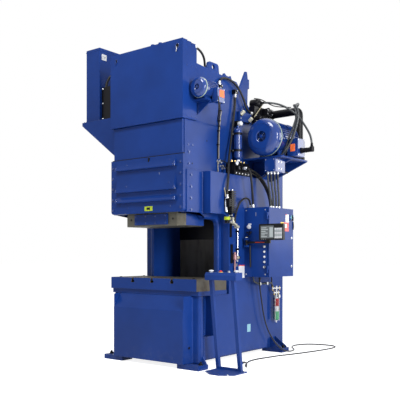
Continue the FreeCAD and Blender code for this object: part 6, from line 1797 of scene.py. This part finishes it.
@dataclass
class Screen:
    """The operator screen on its swivelling arm."""

    front: float = 903.0
    left: float = 932.0
    right: float = 1108.0
    low: float = 1426.0
    high: float = 1571.0

    def build(self) -> None:
        """Build the arm and the screen."""
        shape = Shape("screen_arm_worked").cad("screen_arm", MOULDED, 3.0)
        shape.block((830, 945, 1379), (958, 947.5, 1385), RED, 1.0)
        shape.lathe(Along.Z, (700, 960, 1436), [(0, 17), (3, 19), (8, 19), (11, 14)], ZINC, 24)
        shape.done("screen", "screen_arm")
        shape = Shape("screen_panel_worked").cad("screen_panel", MOULDED, 3.0)
        y = self.front
        shape.block((self.left + 1, y + 2.4, self.low + 1), (self.right - 0.5, y + 5, self.high - 1), GLASS,
                    0.8)
        for step in range(6):
            z = self.high - 30 - 20 * step
            long = (70, 92, 58, 84, 46, 74)[step]
            shape.block((self.left + 10, y + 1.8, z), (self.left + 10 + long, y + 3, z + 9), BAR, 0.3)
        shape.block((self.right - 56, y + 1.8, self.low + 14), (self.right - 10, y + 3, self.high - 20), BAR,
                    0.3)
        shape.block((1118, y - 1.2, self.low - 4), (1220, y + 2, self.high - 26), GREY, 1.5)
        # painted light: every other row of keys takes the lit screen-bar finish and glows a little
        for row in range(5):
            for place in range(4):
                x, z = 1124 + 24 * place, self.low + 4 + 23 * row
                shape.block((x, y - 3.2, z), (x + 18, y, z + 16), BAR if row % 2 else WHITE, 1.2)
        for x in (952, 976, 1000):
            shape.bar(Along.Y, (x, y, 1416), 1, -1.2, 4, GREY, 16)
        shape.rows(Along.X, (950, 949, 1500), MOULDED, count=24, pitch=11, wide=110, deep=2, thick=4)
        shape.done("screen", "screen_panel")


@dataclass
class AirUnit:
    """The air filter, regulator and lubricator with clear bowls, tees and the knob."""

    x: float = 596.0
    y: float = 1785.0
    low: float = 370.0

    def build(self) -> None:
        """Build the column, then the knob."""
        shape = Shape("air_unit_dressed")
        place = (self.x, self.y, self.low)
        shape.lathe(Along.Z, place, [(0, 8), (6, 10), (20, 10), (24, 16), (34, 18)], WHITE, 24)
        shape.lathe(Along.Z, place, [(30, 0), (34, 24), (44, 33), (60, 37), (148, 37), (150, 30)],
                    GREEN_BOWL, 40)
        shape.bar(Along.Z, place, 60, 140, 26, ALLOY, 24)
        shape.lathe(Along.Z, place, [(146, 40), (160, 40), (164, 36), (198, 36), (202, 40), (210, 40)],
                    ALLOY, 32)
        shape.lathe(Along.Z, place, [(206, 36), (310, 37), (314, 34), (316, 0)], RED_BOWL, 40)
        shape.bar(Along.Z, place, 214, 300, 24, NIGHT, 24)
        shape.lathe(Along.Z, place, [(312, 40), (326, 40), (330, 30), (352, 30), (354, 14), (470, 13)],
                    ALLOY, 32)
        shape.block((530, self.y - 30, self.low + 155), (self.x, self.y + 30, self.low + 177), ALLOY, 3.0)
        shape.screw([(534, self.y + side, self.low + 166) for side in (-22, 22)], RIGHT, 6, 5, NIGHT)
        shape.bar(Along.Y, (self.x, self.y + 30, self.low + 166), 0, 18, 9, ALLOY, 24)
        shape.lathe(Along.X, (self.x + 30, self.y, self.low + 338),
                    [(0, 7), (5, 7), (6, 24), (20, 24), (22, 21)], ALLOY, 32)
        shape.bar(Along.X, (self.x + 52, self.y, self.low + 338), 0, 0.7, 18, WHITE, 28)
        for z, from_y, to_y in ((self.low + 382, -70, 62), (self.low + 440, -104, 88)):
            shape.lathe(Along.Y, (self.x, self.y, z),
                        [(from_y, 13), (from_y + 26, 13), (from_y + 28, 9), (to_y - 28, 9), (to_y - 26, 13),
                         (to_y, 13)], ZINC, 12)
            for end in (from_y + 12, to_y - 12):
                shape.lathe(Along.Z, (self.x, self.y + end, z - 26), [(0, 12), (16, 12), (18, 8), (52, 8)],
                            BRASS, HEXAGON)
        for side in (-1, 1):
            shape.lathe(Along.Z, (self.x + 12, self.y + side * 48, self.low + 20), [(0, 5), (330, 5)], ALLOY,
                        10)
        shape.pipe([(self.x, 1681, 826), (self.x, 1674, 880), (590, 1690, 940), (560, 1700, 1000),
                    (536, 1702, 1060)], 9, RUBBER)
        shape.done("frame", "air_unit")
        shape = Shape("regulator_knob_dressed")
        centre = (self.x, self.y + 48.4, self.low + 166)
        shape.lathe(Along.Y, centre, [(0, 17), (4, 19.6), (22, 19.6), (27, 16), (28, 0)], MOULDED, 40)
        shape.fins(Along.Y, (self.x, self.y + 61, self.low + 166), MOULDED, count=20, radius=18.6, deep=3,
                   thick=2.4, long=16)
        shape.done("knob", "regulator_knob")


@dataclass
class Stand:
    """The leaning stand with its palm buttons, stop button, pilot lamp and floor bolts."""

    middle: float = 125.0
    top: float = 1055.0
    palms: tuple = (("left", 820.0), ("right", 1146.0))
    stop: float = 945.0

    def build(self) -> None:
        """Build the stand, then its buttons."""
        shape = Shape("control_stand_worked").cad("control_stand", BLUE, 3.0)
        shape.screw([(820, -5, 12), (1130, -5, 12), (812, 276, 12), (1138, 276, 12)], UP, 9, 8, ZINC)
        for _, x in self.palms:
            shape.lathe(Along.Z, (x, self.middle, self.top), [(0, 16.5), (0, 25), (1.4, 24), (1.4, 16.5)],
                        ZINC, 40, True)
        shape.lathe(Along.Z, (self.stop, self.middle, self.top), [(0, 19), (0, 25), (4, 24), (4, 19)],
                    YELLOW, 40, True)
        shape.lathe(Along.Z, (1052, self.middle, self.top), [(-2, 17), (4, 17), (6, 12), (16, 12), (18, 8)],
                    ALLOY, 28)
        for x in (800, 1170):
            shape.screw([(x, 175, 990), (x, 175, 1038)], BACK, 5, 4, ZINC, 12)
        for x in (820, 1106):
            shape.bead([(x - 22, 236, 13), (x + 22, 236, 13)], 4, BLUE)
            shape.bead([(x - 22, 58, 974), (x + 22, 58, 974)], 3, BLUE)
        shape.done("frame", "control_stand")
        for name, x in self.palms:
            cap = Shape(f"palm_{name}_dressed")
            cap.lathe(Along.Z, (x, self.middle, self.top),
                      [(-26, 13.8), (10, 13.8), (10, 26), (13, 27), (17, 26.6), (21, 23), (24.5, 15),
                       (26, 5)], WHITE, 48)
            cap.done("palm_" + name, "palm_button_" + name)
        cap = Shape("stop_button_dressed")
        cap.lathe(Along.Z, (self.stop, self.middle, self.top),
                  [(-26, 10.8), (8, 10.8), (8, 16), (10, 17), (14, 16.6), (18, 12), (20, 4)], RED, 48)
        cap.done("stop", "stop_button")


@dataclass
class StandCord:
    """The cord from under the cabinet over the floor to the stand, with a tapered relief at each end."""

    radius: float = 0.008
    length: float = 4.91
    route: tuple = (
        (700, 1240, 950), (700, 1240, 860), (702, 1268, 735), (702, 1302, 585), (701, 1350, 440),
        (704, 1415, 318), (709, 1500, 210), (722, 1590, 120), (745, 1680, 50), (768, 1790, 12),
        (765, 1930, 9), (700, 2060, 9), (600, 2165, 9), (535, 2300, 9), (537, 2441, 9),
        (600, 2560, 9), (705, 2625, 9), (830, 2655, 9), (955, 2650, 9), (1040, 2570, 9),
        (1058, 2440, 9), (1045, 2290, 9), (1022, 2130, 9), (985, 1960, 9), (945, 1780, 9),
        (890, 1590, 9), (835, 1430, 9), (815, 1280, 9), (785, 1130, 9), (775, 990, 9),
        (800, 850, 9), (862, 720, 9), (930, 600, 9), (1010, 505, 12), (1066, 430, 48),
        (1106, 370, 100), (1106, 290, 100))

    def lay(self) -> None:
        """Lay the cord."""
        route = [(x / METRE, (y - DEPTH) / METRE, z / METRE) for x, y, z in self.route]
        cord = route_curve("stand_cord_jacket", route, self.radius)
        cord.data.materials.append(RUBBER.material())
        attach(cord, "frame")
        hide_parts("stand_cord")
        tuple(route[0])
        2 * self.radius
        log.info("stand cord laid, %.2f m", self.length)

    def reliefs(self) -> None:
        """The nut and the tapered sleeve where the cord leaves each housing."""
        for name, place, axis in (("cabinet", (700, 1240, 952), Vector((0, 0, -1))),
                                  ("stand", (1106, 288, 100), Vector((0, 1, 0)))):
            shape = Shape(name + "_cord_relief")
            shape.lathe(axis, place, [(-10, 16), (-8, 17), (0, 17), (2, 15)], MOULDED, HEXAGON)
            shape.lathe(axis, place, [(0, 13.5), (6, 13.5), (8, 12.6), (14, 12.6), (16, 12), (22, 12),
                                      (24, 11.2), (30, 11.2), (32, 10.4), (40, 10), (44, 9)], MOULDED, 28)
            shape.done()


# ------------------------------------------------------------------------------ studio

@dataclass
class Studio:
    """Camera, lamps, floor and sky."""

    eye: Point = (5.0517, -6.354, 1.25)
    looks: Point = (-0.6221, 0.7829, 0.0)
    lens: float = 58.9
    sensor: float = 36.0
    rise: float = 0.1345
    floor_half: float = 60.0

    def camera(self) -> None:
        """The camera at the photograph's place."""
        data = bpy.data.cameras.new("camera")
        data.lens = self.lens
        data.sensor_width = self.sensor
        data.shift_y = self.rise
        data.clip_end = 300.0
        camera = bpy.data.objects.new("camera", data)
        camera.matrix_world = (Matrix.Translation(self.eye)
                               @ Vector(self.looks).to_track_quat("-Z", "Y").to_matrix().to_4x4())
        bpy.context.scene.collection.objects.link(camera)
        bpy.context.scene.camera = camera

    def lamp(self, name: str, place: Point, aim: Point, size: Pair, power: float) -> None:
        """One soft rectangular lamp.

        Args:
            name: its name.
            place: where it stands.
            aim: what it points at.
            size: its width and height.
            power: its power in watts.
        """
        data = bpy.data.lights.new(name, "AREA")
        data.shape = "RECTANGLE"
        data.size, data.size_y = size
        data.energy = power
        lamp = bpy.data.objects.new(name, data)
        turn = (Vector(aim) - Vector(place)).to_track_quat("-Z", "Y").to_matrix().to_4x4()
        lamp.matrix_world = Matrix.Translation(place) @ turn
        bpy.context.scene.collection.objects.link(lamp)

    def shown(self, tree: Tree) -> Sum:
        """1 for rays that show the backdrop itself: camera, glossy and transmission rays."""
        path = tree.node("ShaderNodeLightPath").outputs
        seen = Sum(tree, path["Is Camera Ray"])
        seen = seen.maths("MAXIMUM", seen, path["Is Glossy Ray"])
        return seen.maths("MAXIMUM", seen, path["Is Transmission Ray"])

    def sky(self) -> None:
        """A plain even sky that shows white."""
        world = bpy.data.worlds.new("studio_sky")
        bpy.context.scene.world = world
        world.use_nodes = True
        tree = Tree(world.node_tree)
        seen = tree.node("ShaderNodeBackground", None, {"Color": (1, 1, 1, 1), "Strength": 1.0})
        lit = tree.node("ShaderNodeBackground", None, {"Color": (0.85, 0.9, 1.0, 1), "Strength": 0.26})
        both = tree.node("ShaderNodeMixShader", None,
                         {0: self.shown(tree), 1: lit.outputs[0], 2: seen.outputs[0]})
        tree.node("ShaderNodeOutputWorld", None, {"Surface": both.outputs[0]})

    def floor(self) -> None:
        """A pale floor that keeps the object's shadow and meets the white backdrop."""
        material = bpy.data.materials.new("studio_floor")
        material.use_nodes = True
        tree = Tree(material.node_tree)
        matt = tree.node("ShaderNodeBsdfDiffuse", None, {"Color": (0.8, 0.8, 0.8, 1)})
        glow = tree.node("ShaderNodeEmission", None, {"Color": (1, 1, 1, 1), "Strength": 0.86})
        lighter = tree.node("ShaderNodeAddShader", None, {0: matt.outputs[0], 1: glow.outputs[0]})
        both = tree.node("ShaderNodeMixShader", None,
                         {0: self.shown(tree), 1: matt.outputs[0], 2: lighter.outputs[0]})
        tree.node("ShaderNodeOutputMaterial", None, {"Surface": both.outputs[0]})
        mesh = bpy.data.meshes.new("studio_floor")
        half = self.floor_half
        corners = [(-half, -half, 0), (half, -half, 0), (half, half, 0), (-half, half, 0)]
        mesh.from_pydata(corners, [], [(0, 1, 2, 3)])
        mesh.materials.append(material)
        plane = bpy.data.objects.new("studio_floor", mesh)
        bpy.context.scene.collection.objects.link(plane)
        plane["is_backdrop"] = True

    def build(self) -> None:
        """Set up everything round the object."""
        self.camera()
        self.sky()
        self.floor()
        self.lamp("side_strip", (7.6, -2.4, 3.1), (0.4, -0.3, 1.9), (1.4, 4.2), 520.0)
        self.lamp("rear_panel", (5.9, 7.6, 3.4), (0.5, 0.2, 2.3), (5.0, 4.0), 230.0)
        self.lamp("front_panel", (0.8, -5.8, 8.2), (0.0, -0.9, 1.8), (3.0, 2.4), 420.0)
        self.lamp("top_panel", (0.5, 0.5, 8.5), (0.0, 0.0, 2.0), (5.0, 5.0), 120.0)
        bpy.context.scene.view_settings.view_transform = "Standard"


# ------------------------------------------------------------------------------ paint shop

@dataclass
class PaintShop:
    """Finishes for the CAD pieces, by their slots."""

    slots: dict = field(default_factory=lambda: {
        "painted_blue": BLUE, "dark_paint": NIGHT, "throat_grey": DARK, "machined_steel": PLATE,
        "bronze": BRONZE, "hard_chrome": CHROME, "black_rubber": RUBBER, "black_plastic": MOULDED,
        "light_alloy": ALLOY, "button_plastic": WHITE, "red_plastic": RED})

    def dress(self) -> None:
        """Dress every CAD node by its slot."""
        for entry in frame["record"]["subparts"]:
            piece = frame["nodes"][entry["node"]]
            piece.data.materials.clear()
            piece.data.materials.append(self.slots[entry["material_slot"]].material())


def main() -> None:
    """Build the press's looks in order."""
    logging.basicConfig(level=logging.INFO, format="%(message)s")
    at_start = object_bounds()
    Studio().build()
    cord = StandCord()
    cord.lay()
    cord.reliefs()
    PaintShop().dress()
    for part in (Frame(), Covers(), Tooling(), Tank(), Drives(), Valves(), Lines(), Cabinet(), Screen(),
                 AirUnit(), Stand()):
        part.build()
        log.info("%s done", type(part).__name__)
    sizes = [[list(corner) for corner in box] for box in (at_start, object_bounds())]
    "\n".join(json.dumps(box) for box in sizes) + "\n"


if __name__ == "__main__":
    main()
